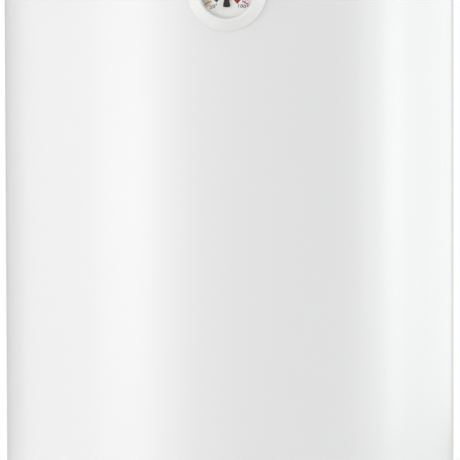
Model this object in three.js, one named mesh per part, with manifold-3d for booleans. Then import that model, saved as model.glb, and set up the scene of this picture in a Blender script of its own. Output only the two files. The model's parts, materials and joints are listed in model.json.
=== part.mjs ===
// Wall-hung electric storage water heater, 80 litre class, about 73 litres inside.
//
// Frame: millimetres, +Z up. The front of the heater faces -Y and the wall is the plane y = 0.
// The origin is the centre of the upper hanging bracket's back face.
// The heater itself is modelled about its own vertical axis, with z = 0 on the underside of the bottom
// cap, and its group carries it to the wall.

import * as THREE from "three";
import { mergeVertices } from "three/addons/utils/BufferGeometryUtils.js";
import Module from "manifold-3d";

const wasm = await Module();
wasm.setup();

// ---------------------------------------------------------------- driving dimensions

const SEAT = 0.3; // gap left between pieces that rest on or pass through each other
const FACETS = 32; // sides of the casing, the tank and the foam
const CAP_STEPS = 3; // steps around a cap's corner
const DOME_STEPS = 4; // steps along a tank dome

// Casing
const CASING_RADIUS = 225;
const CASING_HEIGHT = 722; // underside of the bottom cap to the crown of the top cap
const SHEET = 0.8; // steel jacket
const CAP_CORNER = 42; // outer radius where a cap turns from its face to its side
const CAP_WALL = 2.5;
const CAP_RIM = 4; // straight side of a cap below its corner
const LIP_HEIGHT = 6; // how far a cap's outer lip covers the jacket
const LIP_WALL = 1.5;
const TONGUE_HEIGHT = 8; // how far a cap's inner tongue reaches into the jacket
const TONGUE_WALL = 2;
const TOP_DISH = 8; // rise of the top cap from its corner to its crown

// Tank
const FOAM_THICKNESS = 25.2;
const TANK_WALL = 2;
const DOME_DEPTH = 55;
const DOME_SKIRT = 12; // lap of a dome inside the tank cylinder
const TANK_BOTTOM = 46; // lowest point of the bottom dome's curve
const TOP_FOAM = 29; // top dome to the crown of the casing

// Water pipes
const PIPE_SPACING = 230;
const PIPE_RADIUS = 10.48; // half-inch male thread
const PIPE_BORE = 7.5;
const PIPE_REACH = 30; // how far a nipple stands below the bottom cap
const THREAD_PITCH = 1.814;
const THREAD_DEPTH = 1.1;
const THREAD_TURNS = 6;
const COLLAR_RADIUS = 16;
const COLLAR_HEIGHT = 6;
const COLLAR_SLEEVE = 13; // radius of the sleeve that fills the cap's pipe hole
const DIP_TUBE_WALL = 1.4;
const DIP_TUBE_SET_IN = 20; // foot of the tubes above the bottom cap's wall
const DIP_TUBE_HEAD = 9; // water gap over the outlet tube
const DIFFUSER_RADIUS = 24;
const DIFFUSER_RISE = 95;
const HOOD_FALL = 6; // slope of the diffuser's hood from its middle to its rim

// Service cover
const COVER_GAP = 3; // between the cover's flange and a pipe collar
const COVER_OVERLAP = 8; // width of the cover's flange on the bottom cap
const COVER_DEPTH = 24;
const COVER_CORNER = 12;
const COVER_LIP = 6; // how far the cover's lip reaches into the bay
const COVER_DRAFT = 1.5; // the bowl is this much narrower than its lip
const COVER_SCREW_RADIUS = 1.9;
const COVER_SCREW_HEAD = 3.6;
const COVER_SCREW_HEAD_HEIGHT = 2.4;
const COVER_SCREW_LENGTH = 11;
const COVER_SCREWS = 3;
const SCREW_BOSS_RADIUS = 4.5;
const FILL_PLUG_RADIUS = 8;
const FILL_PLUG_OFFSET = 150;
const FILL_PLUG_FLANGE = 3;
const FILL_PLUG_HEAD = 2;
const FILL_PLUG_SNAP = 2.5; // how far the plug stands above the cap's wall

// Flange unit
const NECK_BORE = 40;
const NECK_WALL = 5.7;
const NECK_REACH = 6; // how far the neck stands inside the dome
const FLANGE_RADIUS = 60;
const COLLAR_THICKNESS = 6; // steel collar that carries the studs
const COLLAR_LEVEL = 36; // underside of that collar
const STUD_CIRCLE = 51;
const STUD_RADIUS = 4;
const STUD_REACH = 18;
const STUDS = 5;
const GASKET_THICKNESS = 2.7;
const PLATE_THICKNESS = 3;
const NUT_FLATS = 13;
const NUT_HEIGHT = 6.4;
const ELEMENT_RADIUS = 4.2;
const ELEMENT_PITCH = 18; // between neighbouring legs
const ELEMENT_SET_BACK = 14; // from the flange's centre towards the wall
const ELEMENT_TOP = 330;
const ELEMENT_LOW_BEND = 110;
const PIN_RADIUS = 1.6;
const PIN_REACH = 12;
const PIN_ROOT = 4; // length of a pin inside the element
const BEND_LAP = 0.2; // how far a straight leg runs into its bend
const ELEMENT_TAIL = 6; // cold end of the element below the flange plate
const WELL_RADIUS = 6;
const WELL_HEIGHT = 310;
const WELL_SET_FORWARD = 16;
const WELL_TAIL = 8; // how far the sensor well stands below the flange plate
const SENSOR_RADIUS = 4;
const SENSOR_SOCKET = 4; // depth of the sensor rod in the thermostat case
const ANODE_RADIUS = 9;
const ANODE_LENGTH = 250;
const ANODE_STUD_RADIUS = 2.5;
const ANODE_X = -22;
const ANODE_Y = -17;
const ANODE_NUT_FLATS = 8;
const ANODE_NUT_HEIGHT = 4;
const ANODE_STUD_TAIL = 8;

// Thermostat, lamp and cable entry
const THERMOSTAT_WIDTH = 46;
const THERMOSTAT_DEPTH = 46;
const THERMOSTAT_HEIGHT = 24;
const THERMOSTAT_SHIFT = 10; // the case's centre ahead of the sensor well
const THERMOSTAT_DROP = 6; // sensor boss between the case and the well
const SENSOR_LENGTH = 270;
const SPINDLE_RADIUS = 3.5;
const SPINDLE_SHIFT = 20; // the spindle's axis ahead of the sensor well
const KNOB_RADIUS = 19;
const KNOB_HEIGHT = 12;
const KNOB_GRIPS = 16;
const KNOB_GAP = 0.8; // knob to cover
const BUTTON_RADIUS = 3;
const BUTTON_LENGTH = 9;
const BUTTON_PROUD = 3;
const BUTTON_X = 14;
const SPRING_RADIUS = 2.1;
const SPRING_WIRE = 0.35;
const SPRING_LENGTH = 7;
const SPRING_TURNS = 4;
const LAMP_RADIUS = 5;
const LAMP_X = 38;
const LAMP_Y = -34;
const LAMP_FLANGE = 1.5; // width and height of the lens rim outside the cover
const LAMP_LENGTH = 20;
const BLOCK_WIDTH = 36;
const BLOCK_DEPTH = 14;
const BLOCK_HEIGHT = 13;
const GLAND_Y = 52;
const GLAND_BORE = 4.5;
const GLAND_THREAD = 7.5;
const GLAND_FLATS = 19;
const GLAND_HEX_HEIGHT = 6;
const GLAND_DOME = 7;
const GLAND_REACH = 9;
const GLAND_NUT_HEIGHT = 4;
const WIRE_RADIUS = 1.1;
const SPINDLE_SOCKET = 14; // depth of the spindle hole in the thermostat case
const KNOB_SOCKET = 8; // depth of the spindle hole in the knob
const BLOCK_RISE = 4; // terminal block above the bottom of the thermostat case

// Hanging brackets
const WALL_GAP = 20; // jacket to wall
const BRACKET_SHEET = 3;
const BRACKET_HEIGHT = 60;
const BRACKET_HALF_WIDTH = 66; // half of the flat that lies on the wall
const BRACKET_ANGLE = 24; // degrees from the back of the heater to each foot
const FOOT_HALF = 16;
const UPPER_BRACKET_DROP = 162; // middle of the upper bracket below the casing's crown
const LOWER_BRACKET = 130;
const KEYHOLE_SPACING = 90;
const KEYHOLE_RADIUS = 8;
const KEYHOLE_SLOT = 5; // half width of the slot above the round hole
const KEYHOLE_RISE = 16;
const BOSS_RADIUS = 9;
const BOLT_RADIUS = 4;
const BOLT_LENGTH = 22;
const BOLT_FLATS = 13;
const BOLT_HEAD = 5.3;

// Thermometer
const GAUGE_DROP = 90; // centre of the thermometer below the jacket's upper edge
const BEZEL_RADIUS = 38.5;
const BEZEL_PROUD = 13; // crest of the bezel above the jacket
const BEZEL_EDGE = 1.6; // upright edge at the foot of the cone
const BEZEL_CREST = 1.2; // width of the crest around the window
const WINDOW_RADIUS = 26;
const CUP_RADIUS = 24;
const CUP_WALL = 1.2;
const DIAL_LEVEL = 6.2; // back of the dial above the jacket
const DIAL_THICKNESS = 0.8;
const LENS_LEVEL = 10.2;
const LENS_THICKNESS = 1.5;
const NEEDLE_LEVEL = 8;
const NEEDLE_THICKNESS = 0.6;
const NEEDLE_TIP = 19;
const NEEDLE_TAIL = 15.1;
const NEEDLE_TAIL_HALF = 3.6;
const NEEDLE_WAIST = 0.9;
const NEEDLE_HUB = 2.6;
const NEEDLE_HUB_HEIGHT = 1.6;
const PIVOT_RADIUS = 0.8;
const COIL_TURNS = 4;
const COIL_STEPS = 14; // steps in one turn of the coil
const COIL_PITCH = 4.6;
const COIL_STRIP = 0.6;
const COIL_WIDTH = 8;
const COIL_LEVEL = -14;

// ---------------------------------------------------------------- derived places

const JACKET_LOW = CAP_CORNER + CAP_RIM;
const JACKET_HIGH = CASING_HEIGHT - JACKET_LOW;
const GAUGE_HEIGHT = JACKET_HIGH - GAUGE_DROP;
const UPPER_BRACKET = CASING_HEIGHT - UPPER_BRACKET_DROP;
const LIP_RADIUS = CASING_RADIUS + SEAT + LIP_WALL;
const INNER_SHEET = CASING_RADIUS - SHEET;
const TONGUE_OUTER = INNER_SHEET - SEAT;
const TONGUE_INNER = TONGUE_OUTER - TONGUE_WALL;

const TANK_RADIUS = INNER_SHEET - FOAM_THICKNESS;
const DOME_RADIUS = TANK_RADIUS - TANK_WALL - SEAT;
const TANK_TOP = CASING_HEIGHT - TOP_FOAM;
const BOTTOM_SPRINGING = TANK_BOTTOM + DOME_DEPTH; // where the bottom dome turns into its skirt
const TOP_SPRINGING = TANK_TOP - DOME_DEPTH;

const PIPE_X = PIPE_SPACING / 2;
const COVER_RADIUS = PIPE_X - COLLAR_RADIUS - COVER_GAP;
const BAY_RADIUS = COVER_RADIUS - COVER_OVERLAP; // opening of the electrical bay
const BAY_OUTER = BAY_RADIUS + CAP_WALL;
const SCREW_CIRCLE = COVER_RADIUS - COVER_OVERLAP / 2;
const COVER_FLOOR = -COVER_DEPTH;
const COVER_FLANGE = CAP_WALL + SEAT;

const PLATE_TOP = COLLAR_LEVEL - SEAT - GASKET_THICKNESS - SEAT;
const PLATE_BOTTOM = PLATE_TOP - PLATE_THICKNESS;
const WELL_BOTTOM = PLATE_BOTTOM - WELL_TAIL;
const CASE_TOP = WELL_BOTTOM - SEAT - THERMOSTAT_DROP;
const CASE_BOTTOM = CASE_TOP - THERMOSTAT_HEIGHT;
const SENSOR_FOOT = CASE_TOP - SENSOR_SOCKET;
const SPINDLE_TOP = CASE_BOTTOM + SPINDLE_SOCKET;
const WELL_BORE = SENSOR_RADIUS + 2 * SEAT;
const CASE_Y = -WELL_SET_FORWARD - THERMOSTAT_SHIFT;
const CASE_BACK = CASE_Y + THERMOSTAT_DEPTH / 2;
const SPINDLE_Y = -WELL_SET_FORWARD - SPINDLE_SHIFT;
const KNOB_TOP = COVER_FLOOR - KNOB_GAP;
const BLOCK_BOTTOM = CASE_BOTTOM + BLOCK_RISE;
const BLOCK_TOP = BLOCK_BOTTOM + BLOCK_HEIGHT;
const BUTTON_BORE_DEPTH = BUTTON_LENGTH - BUTTON_PROUD + SPRING_LENGTH;

const AXIS_TO_WALL = CASING_RADIUS + WALL_GAP;
const DIAL_RADIUS = WINDOW_RADIUS - SEAT;
const CUP_BACK = TANK_RADIUS + SEAT - CASING_RADIUS; // level of the cup's back, against the tank

const radians = THREE.MathUtils.degToRad;
const places = bracketPlaces();

// How far a dome's surface lies from its springing line at a radius.
function domeDrop(radius, outer, depth) {
  return depth * Math.sqrt(1 - (radius / outer) ** 2);
}

// ---------------------------------------------------------------- shape helpers

function solid(geometry) {
  const bare = geometry.index ? geometry.toNonIndexed() : geometry.clone();
  bare.deleteAttribute("normal");
  bare.deleteAttribute("uv");
  const merged = mergeVertices(bare, 1e-4);
  return new wasm.Manifold(
    new wasm.Mesh({
      numProp: 3,
      vertProperties: merged.attributes.position.array,
      triVerts: new Uint32Array(merged.index.array),
    }),
  );
}

function geometryOf(body) {
  const mesh = body.getMesh();
  const geometry = new THREE.BufferGeometry();
  geometry.setAttribute("position", new THREE.BufferAttribute(mesh.vertProperties, 3));
  geometry.setIndex(new THREE.BufferAttribute(mesh.triVerts, 1));
  return geometry;
}

const cut = (base, ...tools) =>
  geometryOf(tools.reduce((body, tool) => body.subtract(solid(tool)), solid(base)));

const join = (base, ...others) =>
  geometryOf(others.reduce((body, other) => body.add(solid(other)), solid(base)));

// A solid of revolution about Z. The profile is [radius, z] points that start and end on the axis,
// or a closed loop without its last point repeated.
function lathe(profile, segments = FACETS) {
  let points = profile.map(([r, z]) => new THREE.Vector2(Math.max(r, 0), z));
  if (THREE.ShapeUtils.area(points) < 0) points.reverse();
  if (points[0].x > 0 || points.at(-1).x > 0) points = [...points, points[0].clone()];
  return new THREE.LatheGeometry(points, segments).rotateX(Math.PI / 2);
}

// Points of an arc in a profile; degrees run from +r towards +z.
function arc(r, z, radius, from, to, steps) {
  return Array.from({ length: steps + 1 }, (_, i) => {
    const angle = radians(from + ((to - from) * i) / steps);
    return [r + radius * Math.cos(angle), z + radius * Math.sin(angle)];
  });
}

// Points of a dome's curve, from its crown, or from a radius on it, to its springing line.
function domeCurve(radius, depth, springing, up, from = 0) {
  const points = Array.from({ length: DOME_STEPS + 1 }, (_, i) => {
    const angle = ((Math.PI / 2) * i) / DOME_STEPS;
    return [radius * Math.sin(angle), springing + up * depth * Math.cos(angle)];
  });
  if (from === 0) return points;
  const next = points.findIndex(([r]) => r > from);
  const [[r0, z0], [r1, z1]] = [points[next - 1], points[next]];
  return [[from, z0 + ((from - r0) / (r1 - r0)) * (z1 - z0)], ...points.slice(next)];
}

const rod = (radius, low, high, segments = 20) =>
  new THREE.CylinderGeometry(radius, radius, high - low, segments)
    .rotateX(Math.PI / 2)
    .translate(0, 0, (high + low) / 2);

const tube = (outer, bore, low, high, segments = 20) =>
  lathe([[outer, low], [outer, high], [bore, high], [bore, low]], segments);

const hexagon = (flats, low, high) => rod(flats / Math.sqrt(3), low, high, 6);

const box = (width, depth, height) => new THREE.BoxGeometry(width, depth, height);

// A round wire or tube swept along a path of points.
function sweep(path, radius, sides, steps) {
  const section = new THREE.EllipseCurve(0, 0, radius, radius);
  const ring = new THREE.Shape(section.getPoints(sides).slice(0, sides));
  return new THREE.ExtrudeGeometry(ring, { steps, extrudePath: path, curveSegments: 1 });
}

// A flat piece with the given outline of [x, y] points, between two levels.
function slab(outline, low, high) {
  const shape = new THREE.Shape(outline.map(([x, y]) => new THREE.Vector2(x, y)));
  return new THREE.ExtrudeGeometry(shape, { depth: high - low, bevelEnabled: false }).translate(0, 0, low);
}

function finish(color, roughness, metalness = 0) {
  return new THREE.MeshStandardMaterial({ color, roughness, metalness });
}

function part(name, geometry, material) {
  const mesh = new THREE.Mesh(geometry, material);
  mesh.name = name;
  return mesh;
}

function group(...children) {
  return new THREE.Group().add(...children);
}

// ---------------------------------------------------------------- finishes

const whiteEnamel = finish(0xf2f2f0, 0.3);
const whitePlastic = finish(0xeeeeea, 0.45);
const clearPlastic = finish(0xffffff, 0.05);
clearPlastic.transparent = true;
clearPlastic.opacity = 0.25;
const foam = finish(0xe6d9a8, 0.95);
const glazedSteel = finish(0x2d4a6b, 0.4, 0.2);
const zincSteel = finish(0xb9bcc0, 0.4, 0.9);
const stainless = finish(0xc8cacc, 0.3, 1);
const brass = finish(0xc9a65a, 0.35, 1);
const copper = finish(0xb87352, 0.35, 1);
const magnesium = finish(0x9a9c9e, 0.7, 0.7);
const blackRubber = finish(0x1c1c1c, 0.8);
const blackPlastic = finish(0x1f1f20, 0.5);
const greyPlastic = finish(0x8c9094, 0.5);
const bluePlastic = finish(0x1f57a8, 0.4);
const redPlastic = finish(0xb5221e, 0.4);
const brownPlastic = finish(0x6b4226, 0.45);
const greenPlastic = finish(0x5f9a3a, 0.45);
const amberLens = finish(0xe08a1e, 0.15);
const blackNeedle = finish(0x201a14, 0.6);
const dialWhite = finish(0xeeedea, 0.6);

// ---------------------------------------------------------------- casing

// The profile of a cap, from its face at z = 0 inwards: outer skin, the slot that takes the jacket's
// edge between lip and tongue, then the inner skin.
function capProfile() {
  const centre = LIP_RADIUS - CAP_CORNER;
  return [
    ...arc(centre, CAP_CORNER, CAP_CORNER, -90, 0, CAP_STEPS + 1),
    [LIP_RADIUS, JACKET_LOW + LIP_HEIGHT],
    [CASING_RADIUS + SEAT, JACKET_LOW + LIP_HEIGHT],
    [CASING_RADIUS + SEAT, JACKET_LOW - SEAT],
    [TONGUE_OUTER, JACKET_LOW - SEAT],
    [TONGUE_OUTER, JACKET_LOW + TONGUE_HEIGHT],
    [TONGUE_INNER, JACKET_LOW + TONGUE_HEIGHT],
    ...arc(centre, CAP_CORNER, CAP_CORNER - CAP_WALL, 0, -90, CAP_STEPS),
  ];
}

// Turns a cap profile over for the top of the casing and lifts its face into a shallow dish.
function turnedOver(profile) {
  const lift = (z) => TOP_DISH * Math.max(0, 1 - z / CAP_CORNER);
  return profile.map(([r, z]) => [r, CASING_HEIGHT - z - lift(z)]);
}

// Height of the top cap's skin between its crown and its corner, halfway out.
const crownMiddle = [(LIP_RADIUS - CAP_CORNER) / 2, CASING_HEIGHT - TOP_DISH / 4];

function topCap() {
  const [r, z] = crownMiddle;
  return lathe([
    [0, CASING_HEIGHT],
    [r, z],
    ...turnedOver(capProfile()),
    [r, z - CAP_WALL],
    [0, CASING_HEIGHT - CAP_WALL],
  ]);
}

const screwPlace = (i) => {
  const angle = radians(90 + (360 / COVER_SCREWS) * i);
  return [SCREW_CIRCLE * Math.cos(angle), SCREW_CIRCLE * Math.sin(angle), 0];
};
const atScrews = (make) =>
  Array.from({ length: COVER_SCREWS }, (_, i) => make().translate(...screwPlace(i)));
const bayTop = BOTTOM_SPRINGING - domeDrop(BAY_OUTER, DOME_RADIUS, DOME_DEPTH) - 2 * SEAT;
const bossTop = COVER_SCREW_LENGTH + SEAT;

function bottomCap() {
  const shell = lathe([
    [BAY_RADIUS, bayTop],
    [BAY_RADIUS, 0],
    ...capProfile(),
    [BAY_OUTER, CAP_WALL],
    [BAY_OUTER, bayTop],
  ]);
  const pipeOpening = (side) =>
    rod(COLLAR_SLEEVE + SEAT, -1, CAP_WALL + 1, 20).translate(side * PIPE_X, 0, 0);
  return cut(
    join(shell, ...atScrews(() => rod(SCREW_BOSS_RADIUS, CAP_WALL / 2, bossTop, 8))),
    ...atScrews(() => rod(COVER_SCREW_RADIUS + SEAT, -1, bossTop + 1, 8)),
    rod(BAY_RADIUS, -1, bossTop + 1, FACETS),
    pipeOpening(1),
    pipeOpening(-1),
    rod(FILL_PLUG_RADIUS + SEAT, -1, CAP_WALL + 1, 16).translate(0, FILL_PLUG_OFFSET, 0),
  );
}

function jacket() {
  const shell = tube(CASING_RADIUS, INNER_SHEET, JACKET_LOW, JACKET_HIGH, FACETS);
  const gaugeHole = rod(CUP_RADIUS + SEAT, -2 * SHEET - 5, 5, 32).applyMatrix4(gaugePlace());
  const boltHoles = places.map((place) =>
    rod(BOLT_RADIUS + SEAT, TANK_RADIUS, CASING_RADIUS + 5, 10).applyMatrix4(place),
  );
  return cut(shell, gaugeHole, ...boltHoles);
}

function serviceCover() {
  const lip = BAY_RADIUS - SEAT; // outside of the lip that locates the cover in the bay
  const corner = lip - COVER_DRAFT - COVER_CORNER;
  const cornerLevel = COVER_FLOOR + COVER_CORNER;
  const bowl = lathe([
    [0, COVER_FLOOR],
    ...arc(corner, cornerLevel, COVER_CORNER, -90, -8, 4),
    [lip, -COVER_FLANGE],
    [COVER_RADIUS, -COVER_FLANGE],
    [COVER_RADIUS, -SEAT],
    [lip, -SEAT],
    [lip, COVER_LIP],
    [lip - CAP_WALL, COVER_LIP],
    [lip - CAP_WALL, -COVER_FLANGE],
    ...arc(corner, cornerLevel, COVER_CORNER - CAP_WALL, -8, -90, 3),
    [0, COVER_FLOOR + CAP_WALL],
  ]);
  const through = (radius, x, y) =>
    rod(radius + SEAT, COVER_FLOOR - 1, COVER_FLOOR + CAP_WALL + 1, 16).translate(x, y, 0);
  return cut(
    bowl,
    through(SPINDLE_RADIUS, 0, SPINDLE_Y),
    through(LAMP_RADIUS, LAMP_X, LAMP_Y),
    through(GLAND_THREAD, 0, GLAND_Y),
    ...atScrews(() => rod(COVER_SCREW_RADIUS + SEAT, -COVER_FLANGE - 1, 1, 8)),
  );
}

function coverScrew(i) {
  const seat = -COVER_FLANGE - SEAT;
  const head = seat - COVER_SCREW_HEAD_HEIGHT;
  const profile = [
    [0, head],
    [COVER_SCREW_HEAD * 0.7, head + 0.3],
    [COVER_SCREW_HEAD, seat - 0.9],
    [COVER_SCREW_HEAD, seat],
    [COVER_SCREW_RADIUS, seat],
    [COVER_SCREW_RADIUS, COVER_SCREW_LENGTH - 2],
    [0, COVER_SCREW_LENGTH],
  ];
  const mesh = part(`cover_screw_${i + 1}`, lathe(profile, 12), zincSteel);
  mesh.position.set(...screwPlace(i));
  return mesh;
}

function fillPlug() {
  const rim = FILL_PLUG_RADIUS + FILL_PLUG_FLANGE;
  const top = CAP_WALL + FILL_PLUG_SNAP;
  return lathe([
    [0, -SEAT - FILL_PLUG_HEAD], [rim - 1, -SEAT - FILL_PLUG_HEAD], [rim, -SEAT - 1], [rim, -SEAT],
    [FILL_PLUG_RADIUS, -SEAT], [FILL_PLUG_RADIUS - 0.6, top], [0, top],
  ], 16).translate(0, FILL_PLUG_OFFSET, 0);
}

// ---------------------------------------------------------------- tank and insulation

function tankDome(up) {
  const springing = up > 0 ? TOP_SPRINGING : BOTTOM_SPRINGING;
  const skirt = springing - up * DOME_SKIRT;
  const opening = up > 0 ? 0 : NECK_BORE + NECK_WALL + SEAT;
  const outside = domeCurve(DOME_RADIUS, DOME_DEPTH, springing, up, opening);
  const inside = domeCurve(DOME_RADIUS - TANK_WALL, DOME_DEPTH - TANK_WALL, springing, up, opening);
  return lathe([
    ...outside,
    [DOME_RADIUS, skirt],
    [DOME_RADIUS - TANK_WALL, skirt],
    ...inside.reverse(),
  ]);
}

const pipeHole = (side) =>
  rod(PIPE_RADIUS + SEAT, -1, BOTTOM_SPRINGING, 16).translate(side * PIPE_X, 0, 0);

function insulation() {
  const gap = 2 * SEAT;
  const floor = CAP_WALL + gap;
  const corner = CAP_CORNER - CAP_WALL - gap;
  const capInside = arc(LIP_RADIUS - CAP_CORNER, CAP_CORNER, corner, -90, 0, CAP_STEPS);
  const lowSide = [
    [foamBay, floor],
    ...capInside,
    [TONGUE_INNER - gap, JACKET_LOW + TONGUE_HEIGHT + gap],
    [INNER_SHEET - gap, JACKET_LOW + TONGUE_HEIGHT + gap],
  ];
  const highSide = turnedOver(lowSide.slice(1)).reverse();
  const [middleR, middleZ] = crownMiddle;
  const [reach, depth] = [DOME_RADIUS + gap, DOME_DEPTH + gap];
  const outline = [
    ...domeCurve(reach, depth, TOP_SPRINGING, 1),
    [TANK_RADIUS + gap, TOP_SPRINGING],
    [TANK_RADIUS + gap, BOTTOM_SPRINGING],
    ...domeCurve(reach, depth, BOTTOM_SPRINGING, -1, foamBay).reverse(),
    ...lowSide,
    ...highSide,
    [middleR, middleZ - CAP_WALL - 2 * gap],
    [0, CASING_HEIGHT - CAP_WALL - gap],
  ];
  return cut(
    lathe(outline),
    rod(CUP_RADIUS + SEAT, CUP_BACK - 5, CUP_WALL, 20).applyMatrix4(gaugePlace()),
    ...places.map((place) => rod(BOSS_RADIUS + SEAT, tankInside, CASING_RADIUS, 12).applyMatrix4(place)),
    ...atScrews(() => rod(SCREW_BOSS_RADIUS + SEAT, 0, bossTop + SEAT, 8)),
    rod(FILL_PLUG_RADIUS + SEAT, 0, CAP_WALL + FILL_PLUG_SNAP + SEAT, 12).translate(0, FILL_PLUG_OFFSET, 0),
    pipeHole(1),
    pipeHole(-1),
  );
}

const foamBay = BAY_OUTER + SEAT;
const tankInside = TANK_RADIUS - TANK_WALL;

// The tank's wall with the threaded bosses for the bracket bolts welded to it.
function tankCylinder() {
  const shell = tube(TANK_RADIUS, tankInside, BOTTOM_SPRINGING, TOP_SPRINGING, FACETS);
  const boss = (place) => {
    const body = rod(BOSS_RADIUS, tankInside, CASING_RADIUS, 12);
    const thread = rod(BOLT_RADIUS + SEAT, CASING_RADIUS - BOLT_LENGTH, CASING_RADIUS + 1, 10);
    return cut(body, thread).applyMatrix4(place);
  };
  const insideJacket = solid(rod(INNER_SHEET - SEAT, 0, CASING_HEIGHT, FACETS));
  return geometryOf(solid(join(shell, ...places.map(boss))).intersect(insideJacket));
}

// A threaded half-inch nipple: parallel rings stand in for the helix.
function nipple(side) {
  const low = -PIPE_REACH;
  const thread = Array.from({ length: THREAD_TURNS }, (_, i) => {
    const z = low + 1 + THREAD_PITCH * i;
    return [[PIPE_RADIUS - THREAD_DEPTH, z], [PIPE_RADIUS, z + THREAD_PITCH / 2]];
  }).flat();
  const high = BOTTOM_SPRINGING - domeDrop(PIPE_X, DOME_RADIUS, DOME_DEPTH) + 8;
  const end = low + 1 + THREAD_PITCH * THREAD_TURNS;
  const profile = [
    [PIPE_BORE, low],
    [PIPE_RADIUS - THREAD_DEPTH, low],
    ...thread,
    [PIPE_RADIUS - THREAD_DEPTH, end],
    [PIPE_RADIUS, end + 1],
    [PIPE_RADIUS, high],
    [PIPE_BORE, high],
  ];
  return lathe(profile, 16).translate(side * PIPE_X, 0, 0);
}

function collar(side) {
  const bore = PIPE_RADIUS + SEAT;
  return lathe([
    [bore, -SEAT - COLLAR_HEIGHT],
    [COLLAR_RADIUS - 1.5, -SEAT - COLLAR_HEIGHT],
    [COLLAR_RADIUS, -SEAT - COLLAR_HEIGHT + 1.5],
    [COLLAR_RADIUS, -SEAT],
    [COLLAR_SLEEVE, -SEAT],
    [COLLAR_SLEEVE, CAP_WALL],
    [bore, CAP_WALL],
  ], 20).translate(side * PIPE_X, 0, 0);
}

const dipRadius = PIPE_BORE - SEAT;
const dipFoot = CAP_WALL + DIP_TUBE_SET_IN;

function outletTube() {
  const head = TOP_SPRINGING + domeDrop(PIPE_X, DOME_RADIUS - TANK_WALL, DOME_DEPTH - TANK_WALL);
  const pipe = tube(dipRadius, dipRadius - DIP_TUBE_WALL, dipFoot, head - DIP_TUBE_HEAD, 16);
  return pipe.translate(-PIPE_X, 0, 0);
}

function inletDiffuser() {
  const top = dipFoot + DIFFUSER_RISE;
  const stem = tube(dipRadius, dipRadius - DIP_TUBE_WALL, dipFoot, top, 12);
  const rim = top - HOOD_FALL;
  const hood = lathe([[0, top - 2], [DIFFUSER_RADIUS, rim - 2], [DIFFUSER_RADIUS, rim], [0, top + 1]], 16);
  const port = box(3 * dipRadius, 6, 12).translate(0, 0, top - 16);
  return cut(join(stem, hood), port).translate(PIPE_X, 0, 0);
}

// ---------------------------------------------------------------- flange unit

const studPlace = (i) => {
  const angle = radians(90 + (360 / STUDS) * i);
  return [STUD_CIRCLE * Math.cos(angle), STUD_CIRCLE * Math.sin(angle)];
};
const aroundStuds = (make) => Array.from({ length: STUDS }, (_, i) => make().translate(...studPlace(i), 0));

function flangeNeck() {
  const ring = lathe([
    [NECK_BORE, COLLAR_LEVEL],
    [FLANGE_RADIUS, COLLAR_LEVEL],
    [FLANGE_RADIUS, COLLAR_LEVEL + COLLAR_THICKNESS],
    [NECK_BORE + NECK_WALL, COLLAR_LEVEL + COLLAR_THICKNESS],
    [NECK_BORE + NECK_WALL, TANK_BOTTOM + NECK_REACH],
    [NECK_BORE, TANK_BOTTOM + NECK_REACH],
  ], 28);
  const stud = () => rod(STUD_RADIUS, COLLAR_LEVEL - STUD_REACH, COLLAR_LEVEL + 2, 10);
  return join(ring, ...aroundStuds(stud));
}

function gasket() {
  const low = PLATE_TOP + SEAT;
  const ring = tube(FLANGE_RADIUS - 1, NECK_BORE, low, low + GASKET_THICKNESS, 28);
  return cut(ring, ...aroundStuds(() => rod(STUD_RADIUS + SEAT, low - 1, low + GASKET_THICKNESS + 1, 10)));
}

const legX = [-1.5, -0.5, 0.5, 1.5].map((step) => step * ELEMENT_PITCH);

function flangePlate() {
  const through = (radius, x, y) =>
    rod(radius + SEAT, PLATE_BOTTOM - 1, PLATE_TOP + 1, 12).translate(x, y, 0);
  return cut(
    rod(FLANGE_RADIUS, PLATE_BOTTOM, PLATE_TOP, 28),
    ...aroundStuds(() => rod(STUD_RADIUS + SEAT, PLATE_BOTTOM - 1, PLATE_TOP + 1, 10)),
    through(ELEMENT_RADIUS, legX[0], ELEMENT_SET_BACK),
    through(ELEMENT_RADIUS, legX[3], ELEMENT_SET_BACK),
    through(WELL_RADIUS, 0, -WELL_SET_FORWARD),
    through(ANODE_STUD_RADIUS, ANODE_X, ANODE_Y),
  );
}

function flangeNut(i) {
  const top = PLATE_BOTTOM - SEAT;
  const hole = rod(STUD_RADIUS + SEAT, top - NUT_HEIGHT - 1, top + 1, 10);
  const nut = cut(hexagon(NUT_FLATS, top - NUT_HEIGHT, top), hole);
  const mesh = part(`flange_nut_${i + 1}`, nut, zincSteel);
  mesh.position.set(...studPlace(i), 0);
  return mesh;
}

// A half circle in the plane of the element, from one leg over to the next.
class HalfTurn extends THREE.Curve {
  constructor(x, z, up) {
    super();
    Object.assign(this, { x, z, up });
  }
  getPoint(t, target = new THREE.Vector3()) {
    const reach = (ELEMENT_PITCH / 2) * Math.cos(Math.PI * t);
    const rise = (ELEMENT_PITCH / 2) * Math.sin(Math.PI * t);
    return target.set(this.x - reach, ELEMENT_SET_BACK, this.z + this.up * rise);
  }
}

const elementFoot = PLATE_BOTTOM - ELEMENT_TAIL;
const pinEnd = elementFoot - PIN_REACH;

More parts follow.
